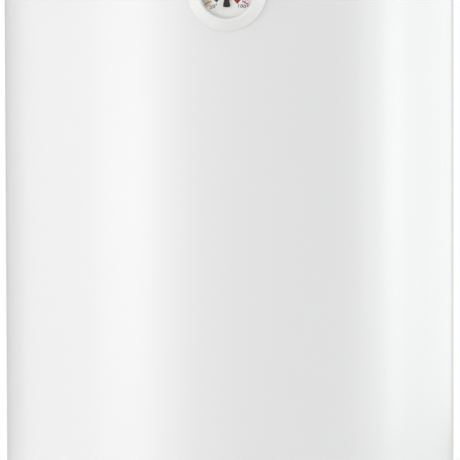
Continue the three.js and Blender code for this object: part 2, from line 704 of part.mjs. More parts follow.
// A sheathed tube bent into two hairpins side by side, with a terminal pin in each cold end.
function heatingElement() {
  const leg = (x, low, high) => rod(ELEMENT_RADIUS, low, high, 10).translate(x, ELEMENT_SET_BACK, 0);
  const pin = (x) => rod(PIN_RADIUS, pinEnd, elementFoot + PIN_ROOT, 8).translate(x, ELEMENT_SET_BACK, 0);
  const bend = (x, z, up) => sweep(new HalfTurn(x, z, up), ELEMENT_RADIUS, 10, 8);
  return join(
    leg(legX[0], elementFoot, ELEMENT_TOP + BEND_LAP),
    leg(legX[1], ELEMENT_LOW_BEND - BEND_LAP, ELEMENT_TOP + BEND_LAP),
    leg(legX[2], ELEMENT_LOW_BEND - BEND_LAP, ELEMENT_TOP + BEND_LAP),
    leg(legX[3], elementFoot, ELEMENT_TOP + BEND_LAP),
    bend(-ELEMENT_PITCH, ELEMENT_TOP, 1),
    bend(0, ELEMENT_LOW_BEND, -1),
    bend(ELEMENT_PITCH, ELEMENT_TOP, 1),
    pin(legX[0]),
    pin(legX[3]),
  );
}

function sensorWell() {
  const top = PLATE_TOP + WELL_HEIGHT;
  return lathe([
    [WELL_BORE, WELL_BOTTOM], [WELL_RADIUS, WELL_BOTTOM], [WELL_RADIUS, top - 3], [WELL_RADIUS - 2, top],
    [0, top], [0, top - 2.5], [WELL_BORE, top - 4],
  ], 12).translate(0, -WELL_SET_FORWARD, 0);
}

function anodeRod() {
  const foot = PLATE_BOTTOM - ANODE_STUD_TAIL;
  const low = PLATE_TOP + SEAT;
  const high = low + ANODE_LENGTH;
  return lathe([
    [0, foot], [ANODE_STUD_RADIUS, foot], [ANODE_STUD_RADIUS, low], [ANODE_RADIUS - 2, low],
    [ANODE_RADIUS, low + 4], [ANODE_RADIUS, high], [0, high],
  ], 12).translate(ANODE_X, ANODE_Y, 0);
}

function anodeNut() {
  const top = PLATE_BOTTOM - SEAT;
  const nut = hexagon(ANODE_NUT_FLATS, top - ANODE_NUT_HEIGHT, top);
  const hole = rod(ANODE_STUD_RADIUS + SEAT, top - ANODE_NUT_HEIGHT - 1, top + 1, 12);
  return cut(nut, hole).translate(ANODE_X, ANODE_Y, 0);
}

// ---------------------------------------------------------------- thermostat, lamp and cable entry

function thermostatCase() {
  const body = box(THERMOSTAT_WIDTH, THERMOSTAT_DEPTH, THERMOSTAT_HEIGHT);
  body.translate(0, CASE_Y, (CASE_TOP + CASE_BOTTOM) / 2);
  const boss = rod(WELL_RADIUS + 2, CASE_TOP - 1, WELL_BOTTOM - SEAT, 16);
  const hole = (radius, low, high) => rod(radius + SEAT, low, high, 12);
  return cut(
    join(body, boss.translate(0, -WELL_SET_FORWARD, 0)),
    hole(SENSOR_RADIUS, SENSOR_FOOT - SEAT, WELL_BOTTOM + 1).translate(0, -WELL_SET_FORWARD, 0),
    hole(SPINDLE_RADIUS, CASE_BOTTOM - 1, SPINDLE_TOP + SEAT).translate(0, SPINDLE_Y, 0),
    hole(BUTTON_RADIUS, CASE_BOTTOM - 1, CASE_BOTTOM + BUTTON_BORE_DEPTH).translate(BUTTON_X, CASE_Y, 0),
  );
}

const sensorRod = () =>
  rod(SENSOR_RADIUS, SENSOR_FOOT, SENSOR_FOOT + SENSOR_LENGTH, 10).translate(0, -WELL_SET_FORWARD, 0);

function spindle() {
  const shaft = rod(SPINDLE_RADIUS, KNOB_TOP - KNOB_SOCKET + SEAT, SPINDLE_TOP, 12);
  return shaft.translate(0, SPINDLE_Y, 0);
}

function knob() {
  const low = KNOB_TOP - KNOB_HEIGHT;
  const body = lathe([
    [0, low], [KNOB_RADIUS - 4, low], [KNOB_RADIUS - 2, low + 1.5],
    [KNOB_RADIUS, KNOB_TOP - 3], [KNOB_RADIUS, KNOB_TOP], [0, KNOB_TOP],
  ], 28);
  const socket = rod(SPINDLE_RADIUS + SEAT, KNOB_TOP - KNOB_SOCKET, KNOB_TOP + 1, 16);
  const pointer = box(2, 10, 1.2).translate(0, -KNOB_RADIUS + 7, low - 0.5);
  const grips = Array.from({ length: KNOB_GRIPS }, (_, i) =>
    rod(1.6, low - 1, KNOB_TOP - 3, 6)
      .translate(KNOB_RADIUS + 0.4, 0, 0)
      .rotateZ(radians((360 / KNOB_GRIPS) * (i + 0.5))),
  );
  return cut(join(body, pointer), socket, ...grips).translate(0, SPINDLE_Y, 0);
}

function resetButton() {
  const low = CASE_BOTTOM - BUTTON_PROUD;
  const high = low + BUTTON_LENGTH;
  return lathe([
    [0, low], [BUTTON_RADIUS - 0.8, low], [BUTTON_RADIUS, low + 0.8], [BUTTON_RADIUS, high], [0, high],
  ], 12).translate(BUTTON_X, CASE_Y, 0);
}

class Helix extends THREE.Curve {
  constructor(radius, low, high, turns) {
    super();
    Object.assign(this, { radius, low, high, turns });
  }
  getPoint(t, target = new THREE.Vector3()) {
    const angle = 2 * Math.PI * this.turns * t;
    const z = this.low + (this.high - this.low) * t;
    return target.set(this.radius * Math.cos(angle), this.radius * Math.sin(angle), z);
  }
}

function resetSpring() {
  const low = CASE_BOTTOM - BUTTON_PROUD + BUTTON_LENGTH + SEAT + SPRING_WIRE;
  const high = CASE_BOTTOM + BUTTON_BORE_DEPTH - SEAT - SPRING_WIRE;
  const coil = sweep(new Helix(SPRING_RADIUS, low, high, SPRING_TURNS), SPRING_WIRE, 5, 9 * SPRING_TURNS);
  return coil.translate(BUTTON_X, CASE_Y, 0);
}

function indicatorLamp() {
  const rim = COVER_FLOOR - SEAT;
  return lathe([
    [0, rim - 3.5], [LAMP_RADIUS - 1.5, rim - 3], [LAMP_RADIUS + LAMP_FLANGE, rim - LAMP_FLANGE],
    [LAMP_RADIUS + LAMP_FLANGE, rim], [LAMP_RADIUS, rim],
    [LAMP_RADIUS, rim + LAMP_LENGTH], [0, rim + LAMP_LENGTH],
  ], 20).translate(LAMP_X, LAMP_Y, 0);
}

// A lead of two-way insulated wire, bent through its points.
const lead = (...points) =>
  sweep(new THREE.CatmullRomCurve3(points.map((point) => new THREE.Vector3(...point))), WIRE_RADIUS, 6, 12);

const caseSide = THERMOSTAT_WIDTH / 2 + SEAT + WIRE_RADIUS;

// From the lamp's tail to the side of the thermostat.
function lampLead(shift) {
  const tail = COVER_FLOOR + LAMP_LENGTH;
  const y = LAMP_Y + shift;
  const bend = LAMP_X - LAMP_RADIUS;
  return lead(
    [LAMP_X, y, tail],
    [LAMP_X, y, tail + 5],
    [bend, y, tail + 9],
    [(bend + caseSide) / 2, y, tail + 10],
    [caseSide - WIRE_RADIUS, y, tail + 10],
  );
}

// From a pin of the element to the side of the thermostat.
function elementLead(side) {
  const end = CASE_BACK - 8;
  const z = pinEnd - 6;
  return lead(
    [side * legX[3], ELEMENT_SET_BACK, pinEnd - SEAT],
    [side * legX[3], ELEMENT_SET_BACK, pinEnd - 4],
    [side * legX[3], (ELEMENT_SET_BACK + end) / 2, z],
    [side * (caseSide + 2), end, z],
    [side * (caseSide - WIRE_RADIUS), end, z],
  );
}

// From the top of the terminal block to the flange plate.
function earthLead() {
  const y = CASE_BACK + SEAT + BLOCK_DEPTH / 2;
  const low = BLOCK_TOP + SEAT;
  const high = PLATE_BOTTOM - SEAT;
  return lead([0, y, low], [0, y, low + 5], [0, y + 3, (low + high) / 2], [0, y, high - 5], [0, y, high]);
}

function terminalBlock() {
  const y = CASE_BACK + SEAT + BLOCK_DEPTH / 2;
  const body = box(BLOCK_WIDTH, BLOCK_DEPTH, BLOCK_HEIGHT).translate(0, y, (BLOCK_BOTTOM + BLOCK_TOP) / 2);
  const way = BLOCK_WIDTH / 3;
  const well = (step) => rod(2.6, BLOCK_BOTTOM - 1, BLOCK_BOTTOM + 5, 12).translate(step * way, y, 0);
  const barrier = (step) => box(1.6, BLOCK_DEPTH, 3).translate(step * way, y, BLOCK_BOTTOM - 1);
  return cut(join(body, barrier(-0.5), barrier(0.5)), well(-1), well(0), well(1));
}

function cableGland() {
  const seat = COVER_FLOOR - SEAT;
  const low = seat - GLAND_HEX_HEIGHT - GLAND_DOME;
  const high = COVER_FLOOR + GLAND_REACH;
  const body = lathe([
    [GLAND_BORE, low],
    [GLAND_THREAD - 1.5, low],
    [GLAND_THREAD + 0.8, low + 3],
    [GLAND_THREAD + 1.2, low + GLAND_DOME],
    [GLAND_THREAD, low + GLAND_DOME],
    [GLAND_THREAD, high],
    [GLAND_BORE, high],
  ], 20);
  const bore = rod(GLAND_BORE, low - 1, high + 1, 20);
  const hex = hexagon(GLAND_FLATS, seat - GLAND_HEX_HEIGHT, seat);
  return cut(join(body, hex), bore).translate(0, GLAND_Y, 0);
}

function glandNut() {
  const low = COVER_FLOOR + CAP_WALL + SEAT;
  const nut = hexagon(GLAND_FLATS, low, low + GLAND_NUT_HEIGHT);
  const hole = rod(GLAND_THREAD + SEAT, low - 1, low + GLAND_NUT_HEIGHT + 1, 20);
  return cut(nut, hole).translate(0, GLAND_Y, 0);
}

// ---------------------------------------------------------------- hanging brackets

// Places with +Z pointing out of the heater's back through each bracket foot: upper pair, then lower.
function bracketPlaces() {
  return [UPPER_BRACKET, LOWER_BRACKET].flatMap((z) =>
    [-1, 1].map((side) => {
      const turn = new THREE.Matrix4().makeRotationZ(-side * radians(BRACKET_ANGLE));
      const lay = new THREE.Matrix4().makeRotationX(-Math.PI / 2);
      return new THREE.Matrix4().makeTranslation(0, 0, z).multiply(turn).multiply(lay);
    }),
  );
}

// Plan view of a bracket: a flat on the wall, a leg each side, and a foot along the jacket.
function bracketOutline() {
  const angle = radians(BRACKET_ANGLE);
  const foot = (radius, along) => [
    radius * Math.sin(angle) + along * Math.cos(angle),
    radius * Math.cos(angle) - along * Math.sin(angle),
  ];
  const inner = CASING_RADIUS + SEAT;
  const outer = inner + BRACKET_SHEET;
  const half = [
    [BRACKET_HALF_WIDTH, AXIS_TO_WALL],
    foot(outer, -FOOT_HALF + BRACKET_SHEET),
    foot(outer, FOOT_HALF),
    foot(inner, FOOT_HALF),
    foot(inner, -FOOT_HALF),
    [BRACKET_HALF_WIDTH - BRACKET_SHEET, AXIS_TO_WALL - BRACKET_SHEET],
  ];
  return [...half, ...half.map(([x, y]) => [-x, y]).reverse()];
}

function bracket(z, feet) {
  const low = z - BRACKET_HEIGHT / 2;
  const strip = slab(bracketOutline(), low, low + BRACKET_HEIGHT);
  const reach = [AXIS_TO_WALL - 2 * BRACKET_SHEET, AXIS_TO_WALL + BRACKET_SHEET];
  const middle = (reach[0] + reach[1]) / 2;
  const keyholes = [-1, 1].flatMap((side) => {
    const x = (side * KEYHOLE_SPACING) / 2;
    const base = z - KEYHOLE_RISE / 2;
    const round = (radius, height) =>
      rod(radius, ...reach, 16).rotateX(-Math.PI / 2).translate(x, 0, height);
    return [
      round(KEYHOLE_RADIUS, base),
      round(KEYHOLE_SLOT, base + KEYHOLE_RISE),
      box(2 * KEYHOLE_SLOT, reach[1] - reach[0], KEYHOLE_RISE)
        .translate(x, middle, base + KEYHOLE_RISE / 2),
    ];
  });
  const boltHoles = feet.map((place) =>
    rod(BOLT_RADIUS + SEAT, TANK_RADIUS, CASING_RADIUS + WALL_GAP, 10).applyMatrix4(place),
  );
  return cut(strip, ...keyholes, ...boltHoles);
}

function bracketBolt(place) {
  const seat = CASING_RADIUS + SEAT + BRACKET_SHEET + SEAT;
  const head = hexagon(BOLT_FLATS, seat, seat + BOLT_HEAD);
  return join(head, rod(BOLT_RADIUS, seat - BOLT_LENGTH, seat + 1, 10)).applyMatrix4(place);
}

// ---------------------------------------------------------------- thermometer

// The gauge is built with +Z out of the casing, +Y up, and z = 0 on the jacket.
function gaugePlace() {
  return new THREE.Matrix4()
    .makeTranslation(0, -CASING_RADIUS, GAUGE_HEIGHT)
    .multiply(new THREE.Matrix4().makeRotationX(Math.PI / 2));
}

function bezel() {
  const crest = WINDOW_RADIUS + BEZEL_CREST;
  const ledge = DIAL_LEVEL - SEAT;
  const ring = lathe([
    [CUP_RADIUS + SEAT, -6],
    [BEZEL_RADIUS, -6],
    [BEZEL_RADIUS, BEZEL_EDGE - 0.6],
    [BEZEL_RADIUS - 0.6, BEZEL_EDGE],
    [crest, BEZEL_PROUD - 0.3],
    [crest - 0.4, BEZEL_PROUD],
    [WINDOW_RADIUS, BEZEL_PROUD],
    [WINDOW_RADIUS, ledge],
    [CUP_RADIUS + SEAT, ledge],
  ], 36);
  const drum = rod(CASING_RADIUS + SEAT, 0, CASING_HEIGHT, FACETS);
  return cut(ring, drum.applyMatrix4(gaugePlace().invert()));
}

function gaugeCup() {
  const rim = DIAL_LEVEL - SEAT;
  return lathe([
    [0, CUP_BACK], [CUP_RADIUS, CUP_BACK], [CUP_RADIUS, rim], [CUP_RADIUS - CUP_WALL, rim],
    [CUP_RADIUS - CUP_WALL, CUP_BACK + CUP_WALL], [0, CUP_BACK + CUP_WALL],
  ], 24);
}

const dialPlate = () =>
  tube(DIAL_RADIUS, PIVOT_RADIUS + SEAT, DIAL_LEVEL, DIAL_LEVEL + DIAL_THICKNESS, 36);

const lens = () => rod(WINDOW_RADIUS - SEAT, LENS_LEVEL, LENS_LEVEL + LENS_THICKNESS, 36);

function needle() {
  const top = NEEDLE_LEVEL + NEEDLE_THICKNESS;
  const blade = slab([
    [0, NEEDLE_TIP], [-NEEDLE_WAIST, 0], [-NEEDLE_TAIL_HALF, -NEEDLE_TAIL + 0.6],
    [0, -NEEDLE_TAIL], [NEEDLE_TAIL_HALF, -NEEDLE_TAIL + 0.6], [NEEDLE_WAIST, 0],
  ], NEEDLE_LEVEL, top);
  const hub = rod(NEEDLE_HUB, NEEDLE_LEVEL, NEEDLE_LEVEL + NEEDLE_HUB_HEIGHT, 16);
  const bore = rod(PIVOT_RADIUS + SEAT, NEEDLE_LEVEL - 1, top + 0.2, 12);
  return cut(join(blade, hub), bore);
}

const pivot = () =>
  rod(PIVOT_RADIUS, CUP_BACK + CUP_WALL + SEAT, NEEDLE_LEVEL + NEEDLE_THICKNESS - 0.1, 12);

// A flat spiral of bimetal strip, from beside the pivot out to a tab at the cup's wall.
function bimetalCoil() {
  const start = PIVOT_RADIUS + SEAT;
  const end = start + COIL_PITCH * COIL_TURNS;
  const wall = CUP_RADIUS - CUP_WALL - SEAT;
  const edge = (shift) =>
    Array.from({ length: COIL_TURNS * COIL_STEPS + 1 }, (_, i) => {
      const angle = (2 * Math.PI * i) / COIL_STEPS;
      const radius = start + (COIL_PITCH * i) / COIL_STEPS + shift;
      return [radius * Math.cos(angle), radius * Math.sin(angle)];
    });
  const tab = [[end, COIL_STRIP], [wall, COIL_STRIP], [wall, 0]];
  return slab([...edge(0), ...tab, ...edge(COIL_STRIP).reverse()], COIL_LEVEL, COIL_LEVEL + COIL_WIDTH);
}

// ---------------------------------------------------------------- assembly

const casing = group(
  part("outer_jacket", jacket(), whiteEnamel),
  part("top_cap", topCap(), whitePlastic),
  part("bottom_cap", bottomCap(), whitePlastic),
  part("service_cover", serviceCover(), whitePlastic),
  ...Array.from({ length: COVER_SCREWS }, (_, i) => coverScrew(i)),
  part("foam_fill_plug", fillPlug(), whitePlastic),
);

const tank = group(
  part("insulation_foam", insulation(), foam),
  part("tank_cylinder", tankCylinder(), glazedSteel),
  part("tank_top_dome", tankDome(1), glazedSteel),
  part("tank_bottom_dome", cut(tankDome(-1), pipeHole(1), pipeHole(-1)), glazedSteel),
  part("cold_inlet_nipple", nipple(1), zincSteel),
  part("hot_outlet_nipple", nipple(-1), zincSteel),
  part("cold_inlet_collar", collar(1), bluePlastic),
  part("hot_outlet_collar", collar(-1), redPlastic),
  part("inlet_diffuser", inletDiffuser(), whitePlastic),
  part("outlet_dip_tube", outletTube(), stainless),
);

const flangeUnit = group(
  part("flange_neck", flangeNeck(), glazedSteel),
  part("flange_gasket", gasket(), blackRubber),
  part("flange_plate", flangePlate(), zincSteel),
  ...Array.from({ length: STUDS }, (_, i) => flangeNut(i)),
  part("heating_element", heatingElement(), copper),
  part("sensor_well", sensorWell(), stainless),
  part("anode_rod", anodeRod(), magnesium),
  part("anode_nut", anodeNut(), zincSteel),
);

const controls = group(
  part("thermostat_case", thermostatCase(), greyPlastic),
  part("thermostat_sensor_rod", sensorRod(), copper),
  part("reset_button", resetButton(), redPlastic),
  part("reset_spring", resetSpring(), stainless),
  part("temperature_spindle", spindle(), brass),
  part("temperature_knob", knob(), whitePlastic),
  part("terminal_block", terminalBlock(), blackPlastic),
  part("indicator_lamp", indicatorLamp(), amberLens),
  part("lamp_lead_1", lampLead(-1.8), bluePlastic),
  part("lamp_lead_2", lampLead(1.8), brownPlastic),
  part("element_lead_1", elementLead(-1), bluePlastic),
  part("element_lead_2", elementLead(1), brownPlastic),
  part("earth_lead", earthLead(), greenPlastic),
  part("cable_gland", cableGland(), greyPlastic),
  part("gland_locknut", glandNut(), greyPlastic),
);

const hanging = group(
  part("upper_bracket", bracket(UPPER_BRACKET, places.slice(0, 2)), zincSteel),
  part("lower_bracket", bracket(LOWER_BRACKET, places.slice(2)), zincSteel),
  ...places.map((place, i) => part(`bracket_bolt_${i + 1}`, bracketBolt(place), zincSteel)),
);

const thermometer = group(
  part("thermometer_bezel", bezel(), whitePlastic),
  part("thermometer_cup", gaugeCup(), brass),
  part("thermometer_dial", dialPlate(), dialWhite),
  part("thermometer_lens", lens(), clearPlastic),
  part("thermometer_needle", needle(), blackNeedle),
  part("needle_pivot", pivot(), brass),
  part("bimetal_coil", bimetalCoil(), copper),
);
thermometer.applyMatrix4(gaugePlace());

const heater = group(casing, tank, flangeUnit, controls, hanging, thermometer);
heater.position.set(0, -AXIS_TO_WALL, -UPPER_BRACKET);

export default group(heater);
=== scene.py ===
import json
from math import atan2, cos, pi, radians, sin, sqrt, tan

import bpy
from bpy.props import FloatProperty, FloatVectorProperty, IntProperty, PointerProperty
from bpy.types import Operator, Panel, PropertyGroup
from mathutils import Matrix, Vector


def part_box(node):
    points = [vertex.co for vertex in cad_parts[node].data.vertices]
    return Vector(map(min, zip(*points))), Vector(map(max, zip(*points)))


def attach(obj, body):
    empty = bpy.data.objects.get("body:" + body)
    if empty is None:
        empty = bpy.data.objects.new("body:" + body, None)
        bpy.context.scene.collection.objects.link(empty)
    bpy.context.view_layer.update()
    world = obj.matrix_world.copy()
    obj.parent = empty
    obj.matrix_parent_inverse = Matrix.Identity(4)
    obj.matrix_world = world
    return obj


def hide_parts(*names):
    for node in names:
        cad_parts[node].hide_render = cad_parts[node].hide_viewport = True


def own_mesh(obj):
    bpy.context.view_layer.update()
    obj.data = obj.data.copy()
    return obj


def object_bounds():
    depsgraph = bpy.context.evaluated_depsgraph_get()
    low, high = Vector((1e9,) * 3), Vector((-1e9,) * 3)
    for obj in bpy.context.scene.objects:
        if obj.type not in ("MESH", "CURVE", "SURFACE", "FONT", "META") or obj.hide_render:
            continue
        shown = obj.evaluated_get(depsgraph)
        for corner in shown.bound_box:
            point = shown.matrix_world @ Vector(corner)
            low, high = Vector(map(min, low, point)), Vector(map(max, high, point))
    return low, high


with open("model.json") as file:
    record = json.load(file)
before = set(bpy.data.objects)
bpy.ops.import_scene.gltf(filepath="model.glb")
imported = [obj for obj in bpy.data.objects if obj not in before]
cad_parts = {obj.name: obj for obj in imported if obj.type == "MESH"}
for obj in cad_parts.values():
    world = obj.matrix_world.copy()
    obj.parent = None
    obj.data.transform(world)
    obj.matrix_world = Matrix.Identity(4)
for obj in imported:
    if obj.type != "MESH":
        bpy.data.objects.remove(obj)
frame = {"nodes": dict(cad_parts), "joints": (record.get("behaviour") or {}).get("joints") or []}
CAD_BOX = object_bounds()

bl_info = {
    "name": "Wall-Hung Water Heater",
    "version": (1, 0, 0),
    "blender": (4, 5, 0),
    "location": "View3D > Sidebar > Water Heater",
    "description": "Builds the visible pieces and finishes of a wall-hung electric water heater",
    "category": "Add Mesh",
}

MM = 0.001
WELD = 2e-6  # points closer together than this are one point
GAP = 0.3 * MM  # between pieces that rest on or pass through each other
SMOOTH = 32  # degrees: a sharper edge keeps its crease

# Radii of the holes, and of the round parts that pass through them
SCREW_HOLE = 2.2 * MM
SCREW_BOSS = 4.5 * MM
BOLT_HOLE = 4.3 * MM
PIPE_HOLE = 13.3 * MM
COLLAR_SPIGOT = 13 * MM
PLUG_HOLE = 8.3 * MM
PIVOT_HOLE = 1.1 * MM
COVER_HOLES = {"temperature_knob": 3.8 * MM, "indicator_lamp": 5.3 * MM, "cable_gland": 7.8 * MM}

# Colours of stock materials. Steel's second colour is its tarnish.
STEEL = (0.62, 0.62, 0.61), (0.42, 0.40, 0.37)
GREY = (0.26, 0.275, 0.29)
PRINT = (0.20, 0.21, 0.22)

# ---------------------------------------------------------------- places, from the frame


def middle(node):
    low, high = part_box(node)
    return (low + high) / 2


def half_width(node):
    low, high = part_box(node)
    return (high.x - low.x) / 2


JACKET_LOW, JACKET_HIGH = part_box("outer_jacket")
JACKET_RADIUS = half_width("outer_jacket")
LIP_RADIUS = half_width("bottom_cap")
AXIS = Vector((middle("outer_jacket").x, middle("outer_jacket").y, 0))
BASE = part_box("bottom_cap")[0].z  # underside of the bottom cap
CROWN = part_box("top_cap")[1].z
GAUGE = Vector((AXIS.x, AXIS.y - JACKET_RADIUS, middle("thermometer_bezel").z))
BEZEL_RADIUS = half_width("thermometer_bezel")
BEZEL_PROUD = GAUGE.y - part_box("thermometer_bezel")[0].y
WINDOW_RADIUS = half_width("thermometer_dial") + 0.06 * MM
COVER_RADIUS = half_width("service_cover")
COVER_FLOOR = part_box("service_cover")[0].z
COVER_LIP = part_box("service_cover")[1].z
KNOB = middle("temperature_knob")
LAMP = middle("indicator_lamp")
GLAND = middle("cable_gland")
PLUG = middle("foam_fill_plug")
JOINTS = {joint["name"]: joint for joint in frame["joints"]}
KNOB_AXIS = Vector(JOINTS["knob_turn"]["pos_m"])
SCREWS = [middle(f"cover_screw_{i}") for i in (1, 2, 3)]
BOLTS = [f"bracket_bolt_{i}" for i in (1, 2, 3, 4)]
PIPES = {pipe: middle(f"{pipe}_nipple") for pipe in ("cold_inlet", "hot_outlet")}


def over(place, height=0.0):
    """The point at this height on the upright line through a place."""
    return Vector((place.x, place.y, height))


def beside(place):
    """A place seen from the heater's axis."""
    return (place - AXIS).xy


# ---------------------------------------------------------------- sizes and colours to choose


def length(name, description, millimetres, most=1.0):
    return FloatProperty(
        name=name, description=description, default=millimetres * MM,
        min=0, max=most, unit="LENGTH", precision=5,
    )


def colour(name, description, *default):
    return FloatVectorProperty(
        name=name, description=description, default=default, size=3, min=0, max=1, subtype="COLOR"
    )


def angle(name, description, degrees):
    return FloatProperty(name=name, description=description, default=radians(degrees), subtype="ANGLE")


def whole(name, description, default, least=0):
    return IntProperty(name=name, description=description, default=default, min=least)


class HeaterCasing(PropertyGroup):
    sheet: length("Jacket Sheet", "Thickness of the jacket's steel", 0.8)
    corner: length("Cap Corner", "Radius where a cap turns from its face to its side", 42)
    wall: length("Cap Wall", "Wall of the moulded caps and the service cover", 2.5)
    dish: length("Top Dish", "Rise of the top cap from its corner to its crown", 8)
    tongue: length("Tongue Height", "Reach of a cap's inner tongue into the jacket", 8)
    seam_width: length("Seam Width", "Width of the lock seam down the back of the jacket", 9)
    seam_height: length("Seam Height", "Height of the lock seam over the jacket", 1.1)
    bay: length("Bay Radius", "Radius of the opening that the service cover closes", 88)
    bay_wall: length("Bay Wall Height", "Height of the wall around that opening", 51.5)
    cover_corner: length("Cover Corner", "Outer radius around the service cover's floor", 12)
    cover_draft: length("Cover Draft", "How much the bowl narrows below its lip", 1.5)
    facets: whole("Casing Facets", "Sides of the jacket and the caps", 256, 32)


class HeaterFittings(PropertyGroup):
    pitch: length("Pipe Thread Pitch", "Pitch of the half-inch pipe thread", 1.814)
    thread: length("Pipe Thread Depth", "Depth of the pipe thread", 1.1)
    threaded: length("Threaded Length", "Length of the thread on each nipple", 13)
    bore: length("Nipple Bore", "Radius of the water way", 7.5)
    grips: whole("Knob Grips", "Hollows around the knob", 16, 3)
    gland_bore: length("Gland Bore", "Radius of the cable entry", 4.5)
    gland_flats: length("Gland Flats", "Width across the gland's flats", 19)
    bolt_flats: length("Bolt Flats", "Width across the flats of a bracket bolt", 13)
    bracket_sheet: length("Bracket Sheet", "Thickness of the hanging brackets", 3)
    foot_angle: angle("Foot Angle", "Angle from the back of the heater to each bracket foot", 24)
    foot: length("Foot Half Width", "Half the width of a bracket's foot", 16)
    keyhole_spacing: length("Keyhole Spacing", "Distance between the two keyholes of a bracket", 90)
    keyhole: length("Keyhole Radius", "Radius of a keyhole's round entry", 8)
    slot: length("Keyhole Slot", "Half width of the slot above the entry", 5)
    slot_rise: length("Slot Rise", "Height of the slot's round end above the entry", 16)


class HeaterGauge(PropertyGroup):
    crest: length("Bezel Crest", "Width of the crest and its inner bevel around the window", 2.6)
    bevel: length("Bezel Bevel", "Width of the bevel inside the crest, down to the lens", 1.3)
    edge: length("Bezel Edge", "Upright edge at the foot of the bezel's slope", 1.0)
    throat: length("Bezel Throat", "How far the bezel's sloping wall reaches in over the dial's rim", 0.7)
    sweep: angle("Scale Sweep", "Angle from mid-scale to each end of the scale", 121)
    coldest: whole("Coldest", "Number at the cold end of the scale", 20)
    hottest: whole("Hottest", "Number at the hot end of the scale", 100)
    ring_inner: length("Ring Inner Radius", "Inner radius of the tinted ring", 17.4)
    ring_line: length("Ring Line Radius", "Radius of the line between the ring's two tints", 20.0)
    ring_outer: length("Ring Outer Radius", "Outer radius of the tinted ring", 24.3)
    band: length("Band Radius", "Radius of the cold to hot band", 13.05)
    band_cold: length("Band Width Cold", "Width of the band at its cold end", 2.7)
    band_hot: length("Band Width Hot", "Width of the band at its hot end", 5.5)
    number: length("Number Height", "Height of the numbers on the dial", 3.1)
    ink: length("Ink Thickness", "Thickness of the dial's print", 0.04)


class HeaterColours(PropertyGroup):
    enamel: colour("Enamel", "Paint of the jacket", 0.835, 0.835, 0.836)
    cap: colour("Cap Plastic", "Plastic of the caps and the cover", 0.82, 0.82, 0.805)
    bezel: colour("Bezel Plastic", "Plastic of the bezel and the knob", 0.868, 0.863, 0.847)
    dial: colour("Dial", "Ground of the dial", 0.86, 0.855, 0.835)
    ring_cold: colour("Ring Cold", "Outer tint of the ring at its cold end", 0.62, 0.50, 0.385)
    ring_hot: colour("Ring Hot", "Outer tint of the ring at its hot end", 0.80, 0.66, 0.73)
    inner_cold: colour("Inner Ring Cold", "Inner tint of the ring at its cold end", 0.82, 0.63, 0.44)
    inner_hot: colour("Inner Ring Hot", "Inner tint of the ring at its hot end", 0.84, 0.72, 0.78)
    tick_cold: colour("Tick Cold", "Graduations at the cold end", 0.16, 0.10, 0.06)
    tick_hot: colour("Tick Hot", "Graduations at the hot end", 0.06, 0.025, 0.04)
    band_cold: colour("Band Cold", "Band at its cold end", 0.008, 0.008, 0.009)
    band_hot: colour("Band Hot", "Band at its hot end", 0.27, 0.007, 0.006)
    number: colour("Numbers", "Ink of the numbers", 0.12, 0.125, 0.13)
    needle: colour("Needle", "Lacquer of the needle", 0.010, 0.006, 0.002)
    cold: colour("Cold Mark", "Collar of the cold inlet", 0.016, 0.10, 0.40)
    hot: colour("Hot Mark", "Collar of the hot outlet", 0.46, 0.018, 0.014)


class HeaterStage(PropertyGroup):
    distance: length("Camera Distance", "From the camera to what it aims at", 5500, 20.0)
    azimuth: angle("Camera Azimuth", "Camera's turn to the right of the heater's front", 0.563)
    elevation: angle("Camera Elevation", "Camera's height above level", 3.944)
    roll: angle("Camera Roll", "Camera's turn about its own line of sight", -0.162)
    lens: FloatProperty(
        name="Lens", description="Focal length on a 36 mm sensor", default=427.71, subtype="DISTANCE_CAMERA"
    )
    aim: FloatVectorProperty(
        name="Aim", description="Point that the camera aims at", default=(0.0003, AXIS.y, -0.2198),
        subtype="XYZ", unit="LENGTH",
    )
    ambient: FloatProperty(name="Ambient", description="Strength of the even light all around", default=0.80)
    horizon: FloatProperty(name="Horizon", description="Strength of the ground mirrored level", default=0.40)
    left_height: length("Left Strip Height", "Height of the strip lamps at the left", 1090, 5.0)
    right_height: length("Right Strip Height", "Height of the strip lamps at the right", 950, 5.0)
    strip_top: length("Strip Top", "Level of the strip lamps' upper ends", 200, 5.0)
    strip_distance: length("Strip Distance", "From the heater's axis to the strip lamps", 3200, 10.0)


# ---------------------------------------------------------------- modelling


def alone(piece):
    """Makes this the only selected object, and the active one."""
    bpy.ops.object.select_all(action="DESELECT")
    piece.select_set(True)
    bpy.context.view_layer.objects.active = piece


def open_mesh(piece):
    alone(piece)
    bpy.ops.object.mode_set(mode="EDIT")
    bpy.ops.mesh.select_all(action="SELECT")


def close_mesh():
    bpy.ops.object.mode_set(mode="OBJECT")
    return bpy.context.object


def volume(piece):
    """The volume that a mesh encloses; below zero where its faces point inwards."""
    mesh = piece.data
    mesh.calc_loop_triangles()
    points = [[mesh.vertices[i].co for i in triangle.vertices] for triangle in mesh.loop_triangles]
    return sum(a.dot(b.cross(c)) for a, b, c in points) / 6


def tidy_mesh(piece):
    """Merges what coincides and points the faces outwards."""
    open_mesh(piece)
    bpy.ops.mesh.remove_doubles(threshold=WELD)
    bpy.ops.mesh.dissolve_degenerate(threshold=WELD / 2)
    bpy.ops.mesh.select_all(action="SELECT")
    bpy.ops.mesh.normals_make_consistent(inside=False)
    close_mesh()
    if volume(piece) < 0:
        open_mesh(piece)
        bpy.ops.mesh.flip_normals()
        close_mesh()
    return piece


